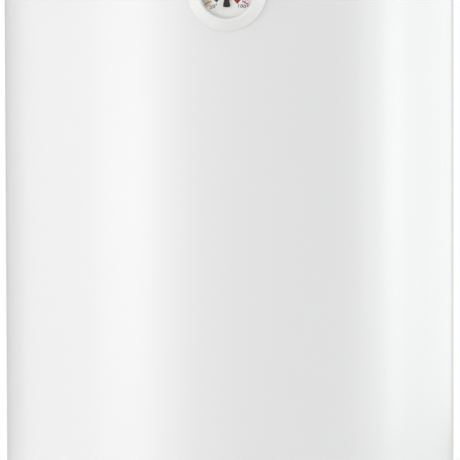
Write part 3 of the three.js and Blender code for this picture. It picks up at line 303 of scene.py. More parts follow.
def rounded(points, steps=5):
    """The points of a closed outline. A point's third number rounds that corner to a radius."""
    made = []
    for i, (x, y, *radius) in enumerate(points):
        if not radius:
            made.append((x, y))
            continue
        here = Vector((x, y))
        to_last = (Vector(points[i - 1][:2]) - here).normalized()
        to_next = (Vector(points[(i + 1) % len(points)][:2]) - here).normalized()
        half = to_last.angle(to_next) / 2
        centre = here + (to_last + to_next).normalized() * radius[0] / sin(half)
        start = here + to_last * radius[0] / tan(half) - centre
        end = here + to_next * radius[0] / tan(half) - centre
        first = atan2(start.y, start.x)
        turn = (atan2(end.y, end.x) - first + pi) % (2 * pi) - pi
        for k in range(steps + 1):
            at = first + turn * k / steps
            made.append((centre.x + radius[0] * cos(at), centre.y + radius[0] * sin(at)))
    return made


def arc(x, y, across, up, start, stop, steps):
    """Points of a round or elliptical arc; degrees run from +x towards +y."""
    turns = [radians(start + (stop - start) * i / steps) for i in range(steps + 1)]
    return [(x + across * cos(turn), y + up * sin(turn)) for turn in turns]


def named(piece, name):
    piece.name = piece.data.name = name
    return piece


def drawn(name, points):
    """A chain of edges: one vertex, extruded from point to point. The mesh is left open for editing."""
    bpy.ops.object.select_all(action="DESELECT")
    bpy.ops.mesh.primitive_plane_add(size=MM, location=(0, 0, 0))
    piece = named(bpy.context.object, name)
    bpy.ops.object.mode_set(mode="EDIT")
    bpy.ops.mesh.select_all(action="SELECT")
    bpy.ops.mesh.merge(type="CENTER")
    bpy.ops.transform.translate(value=points[0])
    for last, point in zip(points, points[1:]):
        step = [b - a for a, b in zip(last, point)]
        bpy.ops.mesh.extrude_region_move(TRANSFORM_OT_translate={"value": step})
    return piece


def turned(name, outline, steps=96):
    """A round piece about Z. Its (radius, height) outline is closed, or starts and ends on the axis."""
    if outline[0][0] > 0 or outline[-1][0] > 0:
        outline = [*outline, outline[0]]
    piece = drawn(name, [(r, 0, z) for r, z in outline])
    bpy.ops.mesh.select_all(action="SELECT")
    bpy.ops.mesh.spin(steps=steps, angle=2 * pi, center=(0, 0, 0), axis=(0, 0, 1))
    close_mesh()
    return tidy_mesh(piece)


def slab(half, low, high, corner):
    """A rectangle's corners, rounded, for an outline that is even about x = 0."""
    return [(-half, low, corner), (half, low, corner), (half, high, corner), (-half, high, corner)]


def thread(core, crest, start, pitch, turns):
    """The outline of a screw's thread, upwards from its first root."""
    steps = ((core, 0), (crest, 0.45), (crest, 0.55))
    return [(radius, start + pitch * (i + up)) for i in range(turns) for radius, up in steps]


def plate(name, outline, low, high):
    """A flat piece with the given closed outline of (x, y) points, between two heights."""
    piece = drawn(name, [(x, y, low) for x, y in [*outline, outline[0]]])
    bpy.ops.mesh.select_all(action="SELECT")
    bpy.ops.mesh.remove_doubles(threshold=WELD)
    bpy.ops.mesh.edge_face_add()
    bpy.ops.mesh.extrude_region_move(TRANSFORM_OT_translate={"value": (0, 0, high - low)})
    close_mesh()
    return tidy_mesh(piece)


def moved(piece, place):
    """Puts a piece at its place: a vector, or a matrix that turns it too. The place goes into its mesh."""
    alone(piece)
    matrix = Matrix.Translation(place) if isinstance(place, Vector) else place
    piece.matrix_world = matrix @ piece.matrix_world
    bpy.ops.object.transform_apply(location=True, rotation=True, scale=True)
    return piece


def copied(piece, name, place):
    alone(piece)
    bpy.ops.object.duplicate(linked=False)
    return moved(named(bpy.context.object, name), place)


def joined(first, *others):
    alone(first)
    for other in others:
        other.select_set(True)
    bpy.ops.object.join()
    return first


def modified(piece, kind, **settings):
    """Adds one modifier, sets it and applies it."""
    alone(piece)
    modifier = piece.modifiers.new(kind.title(), kind)
    for key, value in settings.items():
        setattr(modifier, key, value)
    bpy.ops.object.modifier_apply(modifier=modifier.name)
    return piece


def bevelled(piece, width, degrees):
    return modified(
        piece, "BEVEL", width=width, segments=2, limit_method="ANGLE", angle_limit=radians(degrees)
    )


def combined(piece, tools, operation):
    for tool in tools:
        modified(piece, "BOOLEAN", object=tool, operation=operation, solver="MANIFOLD")
        bpy.data.objects.remove(tool)
    return piece


def cut(piece, *tools):
    return combined(piece, tools, "DIFFERENCE")


def peg(radius, low, high, at=(0, 0), sides=48):
    """A round tool along Z."""
    place = (at[0], at[1], (low + high) / 2)
    bpy.ops.mesh.primitive_cylinder_add(vertices=sides, radius=radius, depth=high - low, location=place)
    return moved(bpy.context.object, Vector())


def hexagon(flats, low, high):
    """A hexagonal tool along Z, with two of its flats facing +Y and -Y."""
    corner = flats / sqrt(3)
    outline = [(corner * cos(pi * i / 3), corner * sin(pi * i / 3)) for i in range(6)]
    return plate("hexagon", outline, low, high)


def finished(piece, material, slot, *replaced, body="root"):
    """Shades a piece, gives it a material and a body, and hides the frame's nodes that it replaces."""
    alone(piece)
    bpy.ops.object.shade_smooth_by_angle(angle=radians(SMOOTH))
    modified(piece, "WEIGHTED_NORMAL", keep_sharp=True)
    piece.data.materials.clear()
    piece.data.materials.append(material)
    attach(piece, body)
    if replaced:
        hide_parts(*replaced)
    return piece


# ---------------------------------------------------------------- finishes


class Nodes:
    """The node tree of a material or a world."""

    def __init__(self, owner):
        owner.use_nodes = True
        self.tree = owner.node_tree

    def add(self, kind, inputs=(), **settings):
        """Adds a node. Each input is a number, a colour or another node's output."""
        node = self.tree.nodes.new("ShaderNode" + kind)
        for key, value in settings.items():
            setattr(node, key, value)
        for key, value in dict(inputs).items():
            if isinstance(value, bpy.types.NodeSocket):
                self.tree.links.new(value, node.inputs[key])
            else:
                node.inputs[key].default_value = value
        return node

    def maths(self, operation, *values):
        return self.add("Math", enumerate(values), operation=operation).outputs[0]

    def span(self, value, low, high, start=0.3, stop=0.7):
        """Spreads a value from one range to another, and holds it there."""
        inputs = {"Value": value, "From Min": start, "From Max": stop, "To Min": low, "To Max": high}
        return self.add("MapRange", inputs).outputs[0]

    def either(self, *rays):
        """1 for a ray of one of these kinds, and 0 for any other."""
        path = self.add("LightPath")
        total = path.outputs[f"Is {rays[0]} Ray"]
        for ray in rays[1:]:
            total = self.maths("MAXIMUM", total, path.outputs[f"Is {ray} Ray"])
        return total

    def blend(self, factor, first, second):
        """Mixes the shaders of two nodes."""
        return self.add("MixShader", {0: factor, 1: first.outputs[0], 2: second.outputs[0]})

    def show(self, node, output="Material Output"):
        self.tree.links.new(node.outputs[0], self.tree.nodes[output].inputs["Surface"])


class Finish(Nodes):
    """A material's shader, with the few kinds of node that feed it."""

    def __init__(self, name, metallic=0.0, **sockets):
        self.material = bpy.data.materials.new(f"finish_{name}")
        super().__init__(self.material)
        self.shader = self.tree.nodes["Principled BSDF"]
        self.place = self.add("TexCoord").outputs["Object"]
        self.shader.inputs["Metallic"].default_value = metallic
        for socket, value in sockets.items():
            self.shader.inputs[socket.replace("_", " ")].default_value = value

    def stretched(self, stretch, centre=(0, 0, 0)):
        if stretch is None:
            return self.place
        shift = [-c * s for c, s in zip(centre, stretch)]
        inputs = {"Vector": self.place, "Location": shift, "Scale": stretch}
        return self.add("Mapping", inputs).outputs["Vector"]

    def noise(self, scale, detail=2.0, stretch=None):
        inputs = {"Vector": self.stretched(stretch), "Scale": scale, "Detail": detail}
        return self.add("TexNoise", inputs).outputs["Fac"]

    def cells(self, scale, output="Distance"):
        return self.add("TexVoronoi", {"Vector": self.place, "Scale": scale}).outputs[output]

    def patches(self, grain, low=0, high=1, start=0.3, stop=0.7):
        """A noise of this (scale, detail, stretch), spread from one range to another."""
        return self.span(self.noise(*grain), low, high, start, stop)

    def mix(self, factor, first, second):
        first, second = (c if isinstance(c, bpy.types.NodeSocket) else (*c, 1) for c in (first, second))
        return self.add("Mix", {0: factor, 6: first, 7: second}, data_type="RGBA").outputs[2]

    def along(self, axis, low, high):
        """0 to 1 along one axis of the object, between two places."""
        parts = self.add("SeparateXYZ", {0: self.place})
        return self.span(parts.outputs["XYZ".index(axis)], 0, 1, low, high)

    def paint(self, factor, first, second):
        self.tree.links.new(self.mix(factor, first, second), self.shader.inputs["Base Color"])
        return self

    def rough(self, grain, low, high, start=0.3, stop=0.7):
        self.tree.links.new(self.patches(grain, low, high, start, stop), self.shader.inputs["Roughness"])
        return self

    def bump(self, height, depth):
        """Raises the surface by a depth in metres where the height is 1. A grain can stand for the height."""
        socket = self.shader.inputs["Normal"]
        height = self.noise(*height) if isinstance(height, tuple) else height
        inputs = {"Height": height, "Distance": depth, "Strength": 1.0}
        if socket.is_linked:
            inputs["Normal"] = socket.links[0].from_socket
        self.tree.links.new(self.add("Bump", inputs).outputs["Normal"], socket)
        return self


def shade(colour, factor):
    return [min(1.0, c * factor) for c in colour]


def colours():
    return bpy.context.scene.heater_colours


def enamel(name, colour):
    """Baked gloss paint: a faint orange peel, and a sheen that changes a little where it has been wiped."""
    made = Finish(name, Coat_Weight=0.15, Coat_Roughness=0.12)
    made.paint(made.patches((5, 3, (1, 1, 0.4)), 0, 1, 0.2, 0.8), shade(colour, 1.006), shade(colour, 0.992))
    made.rough((16, 1.5, (1, 1, 0.5)), 0.24, 0.27, 0.2, 0.8).bump((190, 1.5), 4e-6).bump((700, 2), 1.2e-6)
    return made.material


def moulded(name, colour, low=0.36, high=0.48, grain=12e-6):
    """Moulded plastic: a fine eroded grain, faint flow marks and slightly paler, rubbed edges."""
    made = Finish(name)
    body = made.mix(made.patches((14, 3, (1, 1, 0.5))), shade(colour, 1.012), shade(colour, 0.982))
    edge = made.span(made.add("NewGeometry").outputs["Pointiness"], 0, 0.35, 0.53, 0.62)
    made.paint(edge, body, shade(colour, 1.06))
    made.rough((45, 4), low, high).bump((2600, 2), grain).bump((60, 2), grain * 2)
    return made.material


def printed(name, first, second=None, reach=1.0):
    """Ink or paint on the dial, from one colour on the left to another on the right, slightly uneven."""
    made = Finish(name)
    second = second or first
    side = made.along("X", GAUGE.x - reach, GAUGE.x + reach)
    worn = made.mix(side, shade(first, 0.8), shade(second, 0.8))
    made.paint(made.patches((2400, 3), 0, 0.22), made.mix(side, first, second), worn)
    made.rough((900, 2), 0.5, 0.66).bump((3000, 2), 4e-6)
    return made.material


def galvanised(name, tone=0.66):
    """Zinc on steel: spangles of slightly different greys, with fine scratches and dull spots."""
    made = Finish(name, metallic=1.0)
    grey = made.span(made.add("SeparateColor", {0: made.cells(230, "Color")}).outputs[0], 0, 1, 0, 1)
    body = made.mix(grey, shade((0.96, 0.98, 1.0), tone), shade((1.14, 1.15, 1.13), tone))
    made.paint(made.patches((60, 4), 0, 0.5, 0.5, 0.75), body, shade((0.80, 0.79, 0.74), tone))
    made.rough((130, 4), 0.30, 0.52).bump((900, 3, (1, 1, 6)), 8e-6).bump(grey, 4e-6)
    return made.material


def bare_metal(name, colour, stain, low=0.22, high=0.42, stretch=(1, 1, 0.05)):
    """Drawn or turned metal: fine lines along its length and a little tarnish."""
    made = Finish(name, metallic=1.0)
    made.paint(made.patches((70, 5), 0, 0.75, 0.46, 0.72), colour, stain)
    made.rough((220, 4), low, high).bump((2200, 2, stretch), 6e-6)
    return made.material


def cellular_foam(name):
    """Cut polyurethane foam: small open cells, pale where fresh and browner where it has aged."""
    made = Finish(name, Sheen_Weight=0.1)
    cell = made.cells(420)
    body = made.mix(made.patches((9, 4)), (0.80, 0.70, 0.40), (0.66, 0.53, 0.27))
    made.paint(made.span(cell, 0, 0.5, 0.35, 0.8), body, (0.42, 0.31, 0.14))
    made.rough((300, 2), 0.85, 0.98).bump(cell, 0.0006).bump((60, 3), 0.0008)
    return made.material


def glazed_steel(name):
    """Glass-lined steel: dark blue glaze with paler specks, pooled a little unevenly."""
    made = Finish(name, Coat_Weight=0.6, Coat_Roughness=0.08)
    dots = made.span(made.cells(900), 1, 0, 0.08, 0.2)
    speck = made.maths("MULTIPLY", dots, made.patches((120, 2), 0, 0.8))
    glaze = made.mix(made.patches((16, 4)), (0.016, 0.045, 0.105), (0.030, 0.075, 0.155))
    made.paint(speck, glaze, (0.35, 0.42, 0.5))
    made.rough((40, 3), 0.18, 0.4).bump((55, 3), 12e-5).bump((500, 2), 2e-5)
    return made.material


def rubber(name):
    made = Finish(name)
    made.paint(made.patches((90, 5), 0, 0.6, 0.45, 0.75), (0.012, 0.012, 0.012), (0.055, 0.052, 0.048))
    made.rough((200, 3), 0.62, 0.85).bump((1500, 3), 3e-5)
    return made.material


def wire_sleeve(name, colour, stripe=None):
    """A lead's insulation, with a second colour in long stripes where it has one."""
    made = Finish(name)
    light, dark = shade(colour, 1.1), shade(colour, 0.86)
    if stripe:
        bands = made.add("TexWave", {"Vector": made.place, "Scale": 140}, bands_direction="X").outputs["Fac"]
        made.paint(made.span(bands, 0, 1, 0.46, 0.54), made.mix(made.patches((160, 3)), light, dark), stripe)
    else:
        made.paint(made.patches((160, 3)), light, dark)
    made.rough((400, 2), 0.34, 0.5).bump((1400, 2), 1e-5)
    return made.material


def amber_lens(name):
    """Tinted clear plastic with fine prisms moulded around its middle."""
    made = Finish(name, Transmission_Weight=0.35, IOR=1.49, Coat_Weight=0.4)
    made.paint(made.patches((220, 2)), (0.88, 0.33, 0.020), (0.80, 0.25, 0.012))
    made.rough((500, 2), 0.10, 0.2).bump((1100, 2), 1e-5)
    return made.material


def clear_lens(name):
    """Clear plastic that lets the lamps' light through to the dial."""
    made = Finish(name, Transmission_Weight=1.0, IOR=1.33)
    made.paint(made.patches((60, 2)), (0.995, 0.995, 0.995), (0.98, 0.985, 0.98))
    made.rough((300, 4), 0.0, 0.035).bump((90, 2), 4e-6)
    made.show(made.blend(made.either("Shadow"), made.shader, made.add("BsdfTransparent")))
    return made.material


def lacquer(name, colour):
    """The needle's dark lacquer, worn through in specks to the brass below."""
    made = Finish(name, Specular_IOR_Level=0.1)
    made.paint(made.patches((1500, 4), 0, 0.55, 0.5, 0.68), colour, (0.07, 0.045, 0.015))
    made.rough((800, 3), 0.45, 0.65).bump((1800, 3), 1e-5)
    return made.material


def steel_body(name, colour):
    """Cast or drawn metal with a dull, pitted skin."""
    made = Finish(name, metallic=1.0)
    pits = made.cells(700)
    made.paint(made.patches((40, 5)), colour, shade(colour, 0.72))
    made.tree.links.new(made.span(pits, 0.5, 0.72, 0, 0.6), made.shader.inputs["Roughness"])
    made.bump(pits, 8e-5).bump((200, 3), 5e-5)
    return made.material


# ---------------------------------------------------------------- casing


class HEATER_OT_jacket(Operator):
    """Add the jacket: one rolled sheet, closed by a lock seam down its back"""

    bl_idname = "heater.jacket"
    bl_label = "Add Jacket"

    def execute(self, context):
        casing = context.scene.heater_casing
        low, high = JACKET_LOW.z, JACKET_HIGH.z
        inner = JACKET_RADIUS - casing.sheet
        outline = rounded([
            (JACKET_RADIUS, low), (JACKET_RADIUS, high, 0.2 * MM), (inner, high, 0.2 * MM), (inner, low),
        ], 3)
        jacket = turned("jacket_shell", outline, casing.facets)
        foot = JACKET_RADIUS - casing.sheet / 2
        top = JACKET_RADIUS + casing.seam_height
        half = casing.seam_width / 2
        fold = plate("seam", rounded([
            (half, foot), (half, top, 0.5 * MM), (-half, top, 0.5 * MM), (-half, foot),
        ]), low + 7 * MM, high - 7 * MM)
        combined(jacket, [fold], "UNION")
        moved(jacket, AXIS)
        hole = moved(peg(half_width("thermometer_cup") + GAP, -9 * MM, 9 * MM), gauge_place())
        bolt_holes = [moved(peg(BOLT_HOLE, -6 * MM, 6 * MM, sides=32), bolt_place(bolt)) for bolt in BOLTS]
        cut(jacket, hole, *bolt_holes)
        finished(jacket, enamel("white_enamel", colours().enamel), "white_enamel", "outer_jacket")
        return {"FINISHED"}


def cap_side(settings):
    """A cap's lip, the slot for the jacket's edge, and its tongue, as (radius, height over the face)."""
    edge = JACKET_LOW.z - BASE
    tongue = JACKET_RADIUS - settings.sheet - GAP
    return [
        (LIP_RADIUS, edge + 6 * MM, 0.5 * MM), (JACKET_RADIUS + GAP, edge + 6 * MM, 0.4 * MM),
        (JACKET_RADIUS + GAP, edge - GAP), (tongue, edge - GAP), (tongue, edge + settings.tongue, 0.5 * MM),
        (tongue - 2 * MM, edge + settings.tongue, 0.5 * MM),
    ]


class HEATER_OT_caps(Operator):
    """Add the two moulded caps that close the jacket"""

    bl_idname = "heater.caps"
    bl_label = "Add Caps"

    def execute(self, context):
        casing = context.scene.heater_casing
        plastic = moulded("white_cap_plastic", colours().cap)
        for cap, name in ((self.top_cap(casing), "top_cap"), (self.bottom_cap(casing), "bottom_cap")):
            finished(cap, plastic, "white_cap_plastic", name)
        return {"FINISHED"}

    def top_cap(self, casing):
        centre = LIP_RADIUS - casing.corner
        fall = casing.corner - casing.dish  # height of the corner, which the dish flattens
        blend = atan2(2 * casing.dish / centre * casing.corner, fall) * 1.03  # where dish and corner meet
        reach = centre + casing.corner * sin(blend)
        drop = casing.corner - fall * cos(blend)
        small, low_fall = casing.corner - casing.wall, fall - casing.wall
        outline = [
            *[(reach * i / 12, drop * (i / 12) ** 2) for i in range(12)],
            *arc(centre, casing.corner, casing.corner, -fall, 90 - blend * 180 / pi, 0, 16),
            *rounded(cap_side(casing), 3), *arc(centre, casing.corner, small, -low_fall, 0, 90, 12)[:-1],
            *[(centre * i / 8, casing.dish * (i / 8) ** 2 + casing.wall) for i in range(8, -1, -1)],
        ]
        cap = turned("top_cap_shell", [(r, -z) for r, z in outline], casing.facets)
        return moved(cap, over(AXIS, CROWN))

    def bottom_cap(self, casing):
        centre = LIP_RADIUS - casing.corner
        bay_outer = casing.bay + casing.wall
        small = casing.corner - casing.wall
        outline = [
            (centre - MM, 0),  # holds the shading of the flat face even
            *arc(centre, casing.corner, casing.corner, casing.corner, -90, 0, 16),
            *rounded(cap_side(casing), 3), *arc(centre, casing.corner, small, small, 0, -90, 12),
            (bay_outer, casing.wall), (bay_outer, casing.bay_wall), (casing.bay, casing.bay_wall),
            (casing.bay, 0),
        ]
        cap = turned("bottom_cap_shell", outline, casing.facets)
        bosses = [peg(SCREW_BOSS, casing.wall / 2, 11.3 * MM, beside(s), 24) for s in SCREWS]
        combined(cap, bosses, "UNION")
        cut(
            cap,
            *[peg(SCREW_HOLE, -5 * MM, 13 * MM, beside(s), 24) for s in SCREWS],
            *[peg(PIPE_HOLE, -MM, 5 * MM, beside(p), 64) for p in PIPES.values()],
            peg(PLUG_HOLE, -MM, 5 * MM, beside(PLUG), 48),
            peg(casing.bay, -MM, 13 * MM, sides=casing.facets),
        )
        return moved(cap, over(AXIS, BASE))


class HEATER_OT_service_cover(Operator):
    """Add the service cover, the scale around its knob, its screws and the fill plug"""

    bl_idname = "heater.service_cover"
    bl_label = "Add Service Cover"

    def execute(self, context):
        casing = context.scene.heater_casing
        plastic = bpy.data.materials["finish_white_cap_plastic"]
        finished(self.cover(casing), plastic, "white_cap_plastic", "service_cover")
        ink = printed("scale_ink", PRINT)
        finished(self.knob_scale(), ink, "grey_plastic")
        zinc = galvanised("zinc_screws", 0.62)
        screw = self.screw(casing)
        for i, place in enumerate(SCREWS, 1):
            made = copied(screw, f"cover_screw_{i}_fine", over(place, BASE))
            finished(made, zinc, "zinc_steel", f"cover_screw_{i}")
        bpy.data.objects.remove(screw)
        finished(self.plug(casing), plastic, "white_cap_plastic", "foam_fill_plug")
        return {"FINISHED"}

    def cover(self, casing):
        lip = casing.bay - GAP
        foot = lip - casing.cover_draft
        floor = COVER_FLOOR - BASE
        flange = -casing.wall - GAP
        bowl = turned("service_cover_shell", [
            (0, floor), (foot - casing.cover_corner - MM, floor),
            *rounded([
                (foot, floor, casing.cover_corner), (lip, flange, 1.2 * MM), (COVER_RADIUS, flange, 0.8 * MM),
                (COVER_RADIUS, -GAP, 0.3 * MM), (lip, -GAP), (lip, COVER_LIP - BASE, 0.5 * MM),
                (lip - casing.wall, COVER_LIP - BASE, 0.5 * MM), (lip - casing.wall, flange),
                (foot - casing.wall, floor + casing.wall, casing.cover_corner - casing.wall),
            ], 8),
            (0, floor + casing.wall),
        ], 192)
        low, high = floor - MM, floor + casing.wall + MM
        holes = [peg(radius, low, high, beside(middle(node))) for node, radius in COVER_HOLES.items()]
        screws = [peg(SCREW_HOLE, flange - 2 * MM, MM, beside(s), 32) for s in SCREWS]
        cut(bowl, *holes, *screws)
        return moved(bowl, over(AXIS, BASE))

    def knob_scale(self):
        """A wedge that widens around the knob from least to most warmth, with a dot at each end."""
        inner, steps, sweep = 21.4 * MM, 54, radians(135)
        turns = [sweep * (2 * i / steps - 1) for i in range(steps + 1)]
        wide = [inner + (0.5 + 3.2 * i / steps) * MM for i in range(steps + 1)]
        outer_line = [(w * sin(t), -w * cos(t)) for t, w in zip(turns, wide)]
        inner_line = [(inner * sin(t), -inner * cos(t)) for t in turns]
        wedge = plate("knob_scale", [*outer_line, *reversed(inner_line)], -0.25 * MM, -0.02 * MM)
        dots = [
            peg(r * MM, -0.25 * MM, -0.02 * MM, (23.2 * MM * sin(t), -23.2 * MM * cos(t)), 24)
            for r, t in ((0.8, -sweep - radians(9)), (1.9, sweep + radians(11)))
        ]
        return moved(joined(wedge, *dots), over(KNOB, COVER_FLOOR))

    def screw(self, casing):
        """A pan head screw with a cross recess, about its own axis, with the cap's face at zero."""
        seat = -casing.wall - 2 * GAP
        head = seat - 2.4 * MM
        core, crest, pitch, tip = 1.45 * MM, 1.9 * MM, 1.3 * MM, 11 * MM
        turns = int((tip - seat - 3 * MM) / pitch)
        screw = turned("cover_screw", [
            (0, head), *arc(0, head + 1.7 * MM, 3.6 * MM, 1.7 * MM, -80, -8, 8), (3.6 * MM, seat),
            (crest, seat), *thread(core, crest, seat + MM, pitch, turns), (core, tip - 2 * MM), (0, tip),
        ], 40)
        arms = [
            plate("arm", [(-a, -b), (a, -b), (a, b), (-a, b)], head - MM, head + 1.5 * MM)
            for a, b in ((2.1 * MM, 0.42 * MM), (0.42 * MM, 2.1 * MM))
        ]
        return cut(screw, *arms)

    def plug(self, casing):
        top = casing.wall + 2.5 * MM
        plug = turned("foam_fill_plug_fine", [
            (0, -GAP - 1.7 * MM), (5.6 * MM, -GAP - 1.7 * MM),
            *rounded([
                (6.2 * MM, -GAP - 2 * MM, 0.4 * MM), (11 * MM, -GAP - 2 * MM, 1.3 * MM), (11 * MM, -GAP),
                (8 * MM, -GAP), (8 * MM, casing.wall + 0.4 * MM),
                (8.2 * MM, casing.wall + 0.9 * MM, 0.3 * MM), (7.4 * MM, top, 0.4 * MM), (6 * MM, top),
            ], 4),
            (0, top),
        ], 64)
        return moved(plug, over(PLUG, BASE))


# ---------------------------------------------------------------- pipes, lamp, gland and knob


class HEATER_OT_pipes(Operator):
    """Add the two threaded nipples and their coloured collars"""

    bl_idname = "heater.pipes"
    bl_label = "Add Water Pipes"

    def execute(self, context):
        fittings = context.scene.heater_fittings
        zinc = galvanised("zinc_pipes", 0.60)
        marks = {"cold_inlet": ("blue_plastic", colours().cold), "hot_outlet": ("red_plastic", colours().hot)}
        for pipe, (slot, colour) in marks.items():
            nipple = self.nipple(f"{pipe}_nipple_fine", pipe, fittings)
            finished(nipple, zinc, "zinc_steel", f"{pipe}_nipple")
            collar = self.collar(f"{pipe}_collar_fine", pipe)
            finished(collar, moulded(slot, colour, 0.34, 0.46), slot, f"{pipe}_collar")
        return {"FINISHED"}

    def nipple(self, name, pipe, fittings):
        low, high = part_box(f"{pipe}_nipple")
        radius = half_width(f"{pipe}_nipple")
        root = radius - fittings.thread
        pitch = fittings.pitch
        steps = ((root, 0.06), (radius, 0.44), (radius, 0.56), (root, 0.94))
        turns = range(int(fittings.threaded / pitch))
        ridges = [(across, low.z + 0.9 * MM + pitch * (i + up)) for i in turns for across, up in steps]
        end = ridges[-1][1]
        outline = [
            (fittings.bore + 0.5 * MM, low.z), (root - 0.3 * MM, low.z), (root, low.z + 0.6 * MM), *ridges,
            (root, end + 0.6 * MM), (radius, end + 2 * MM), (radius, high.z), (fittings.bore, high.z),
            (fittings.bore, low.z + 0.5 * MM),
        ]
        return moved(turned(name, outline, 72), over(PIPES[pipe]))

    def collar(self, name, pipe):
        low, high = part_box(f"{pipe}_collar")
        radius = half_width(f"{pipe}_collar")
        bore = half_width(f"{pipe}_nipple") + GAP
        outline = rounded([
            (bore, low.z, 0.5 * MM), (radius - MM, low.z, 1.4 * MM), (radius, low.z + 2 * MM, 2 * MM),
            (radius, BASE - GAP, 0.3 * MM), (COLLAR_SPIGOT, BASE - GAP),
            (COLLAR_SPIGOT, high.z, 0.3 * MM), (bore, high.z),
        ], 4)
        return moved(turned(name, outline, 96), over(PIPES[pipe]))


class HEATER_OT_controls(Operator):
    """Add the temperature knob, the lamp's lens and the cable gland"""

    bl_idname = "heater.controls"
    bl_label = "Add Controls"

    def execute(self, context):
        fittings = context.scene.heater_fittings
        plastic = moulded("knob_plastic", colours().bezel, 0.30, 0.42)
        finished(self.knob(fittings), plastic, "white_gauge_plastic", "temperature_knob", body="knob")
        inlay = moulded("knob_inlay", PRINT, 0.4, 0.5)
        finished(self.inlay(), inlay, "grey_plastic", body="knob")
        finished(self.lamp(), amber_lens("amber_lens"), "amber_lens", "indicator_lamp")
        grey = moulded("gland_plastic", GREY, 0.4, 0.55, 20e-6)
        finished(self.gland(fittings), grey, "grey_plastic", "cable_gland")
        return {"FINISHED"}

    def knob(self, fittings):
        low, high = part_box("temperature_knob")
        radius = half_width("temperature_knob")
        face = low.z + 1.1 * MM  # the pointer's rib stands on this face
        outline = [
            (0, face),
            *rounded([
                (radius - 3.4 * MM, face, 1.2 * MM), (radius - 1.6 * MM, face + 1.8 * MM, 2.5 * MM),
                (radius, high.z - 2.6 * MM, 0.8 * MM), (radius, high.z, 0.4 * MM), (14 * MM, high.z),
                (13.4 * MM, high.z - 1.5 * MM, 0.4 * MM), (6 * MM, high.z - 1.5 * MM),
                (6 * MM, high.z, 0.3 * MM), (3.8 * MM, high.z), (3.8 * MM, high.z - 8 * MM),
            ], 5),
            (0, high.z - 8 * MM),
        ]
        body = turned("temperature_knob_fine", outline, 192)
        turns = [2 * pi / fittings.grips * (i + 0.5) for i in range(fittings.grips)]
        around = [Matrix.Rotation(turn, 3, "Z") @ Vector((radius + 0.5 * MM, 0, 0)) for turn in turns]
        cut(body, joined(*[peg(1.7 * MM, low.z - MM, high.z - 3 * MM, at.xy, 32) for at in around]))
        outline = rounded(slab(1.3 * MM, -17 * MM, -7 * MM, 1.2 * MM), 6)
        rib = plate("rib", outline, low.z + 0.1 * MM, face + 0.5 * MM)
        combined(body, [bevelled(rib, 0.35 * MM, 60)], "UNION")
        return moved(body, over(KNOB_AXIS))

    def inlay(self):
        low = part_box("temperature_knob")[0]
        outline = rounded(slab(0.45 * MM, -16 * MM, -8 * MM, 0.4 * MM), 4)
        line = plate("knob_pointer_inlay", outline, low.z + 0.02 * MM, low.z + 0.3 * MM)
        return moved(line, over(KNOB_AXIS))

    def lamp(self):
        low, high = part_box("indicator_lamp")
        rim = half_width("indicator_lamp")
        seat = COVER_FLOOR - GAP
        prisms = [
            ((0.9 + 0.8 * i + across) * MM, low.z + (up + 0.05 * i * i) * MM)
            for i in range(4) for across, up in ((0, 0.12), (0.25, 0.3))
        ]
        lens = turned("indicator_lamp_lens", [
            (0, low.z), (0.6 * MM, low.z + 0.02 * MM), *prisms,
            *arc(4 * MM, low.z + 2.2 * MM, 1.1 * MM, 1.4 * MM, -80, 0, 6), (rim - 0.4 * MM, low.z + 2.2 * MM),
            (rim, low.z + 2.5 * MM), (rim, seat), (5 * MM, seat), (5 * MM, high.z), (0, high.z),
        ], 64)
        return moved(lens, over(LAMP))

    def gland(self, fittings):
        low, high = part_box("cable_gland")
        seat = COVER_FLOOR - GAP
        hex_low = seat - 6 * MM
        corner = fittings.gland_flats / sqrt(3)
        bore = fittings.gland_bore
        nut = turned("nut", [
            (bore, hex_low - MM), (7 * MM, hex_low - MM), (7 * MM, hex_low),
            (corner - 1.4 * MM, hex_low), (corner, hex_low + 0.8 * MM),
            (corner, seat - 0.8 * MM), (corner - 1.4 * MM, seat), (bore, seat),
        ], 96)
        combined(nut, [hexagon(fittings.gland_flats, hex_low - 2 * MM, seat + MM)], "INTERSECT")
        dome = turned("dome", rounded([
            (bore, low.z, 0.8 * MM), (6.2 * MM, low.z, 1.2 * MM), (8.5 * MM, low.z + 3.4 * MM, 3 * MM),
            (8.7 * MM, hex_low + MM), (bore, hex_low + MM),
        ], 6), 96)
        around = arc(0, 0, 9 * MM, 9 * MM, 0, 340, 17)
        cut(dome, joined(*[peg(0.7 * MM, low.z - MM, hex_low - 0.6 * MM, at, 16) for at in around]))
        shank = turned("shank", [
            (bore, seat - MM), (7.5 * MM, seat - MM), (7.5 * MM, high.z), (bore, high.z),
        ], 64)
        combined(nut, [dome, shank], "UNION")
        return moved(named(nut, "cable_gland_fine"), over(GLAND))


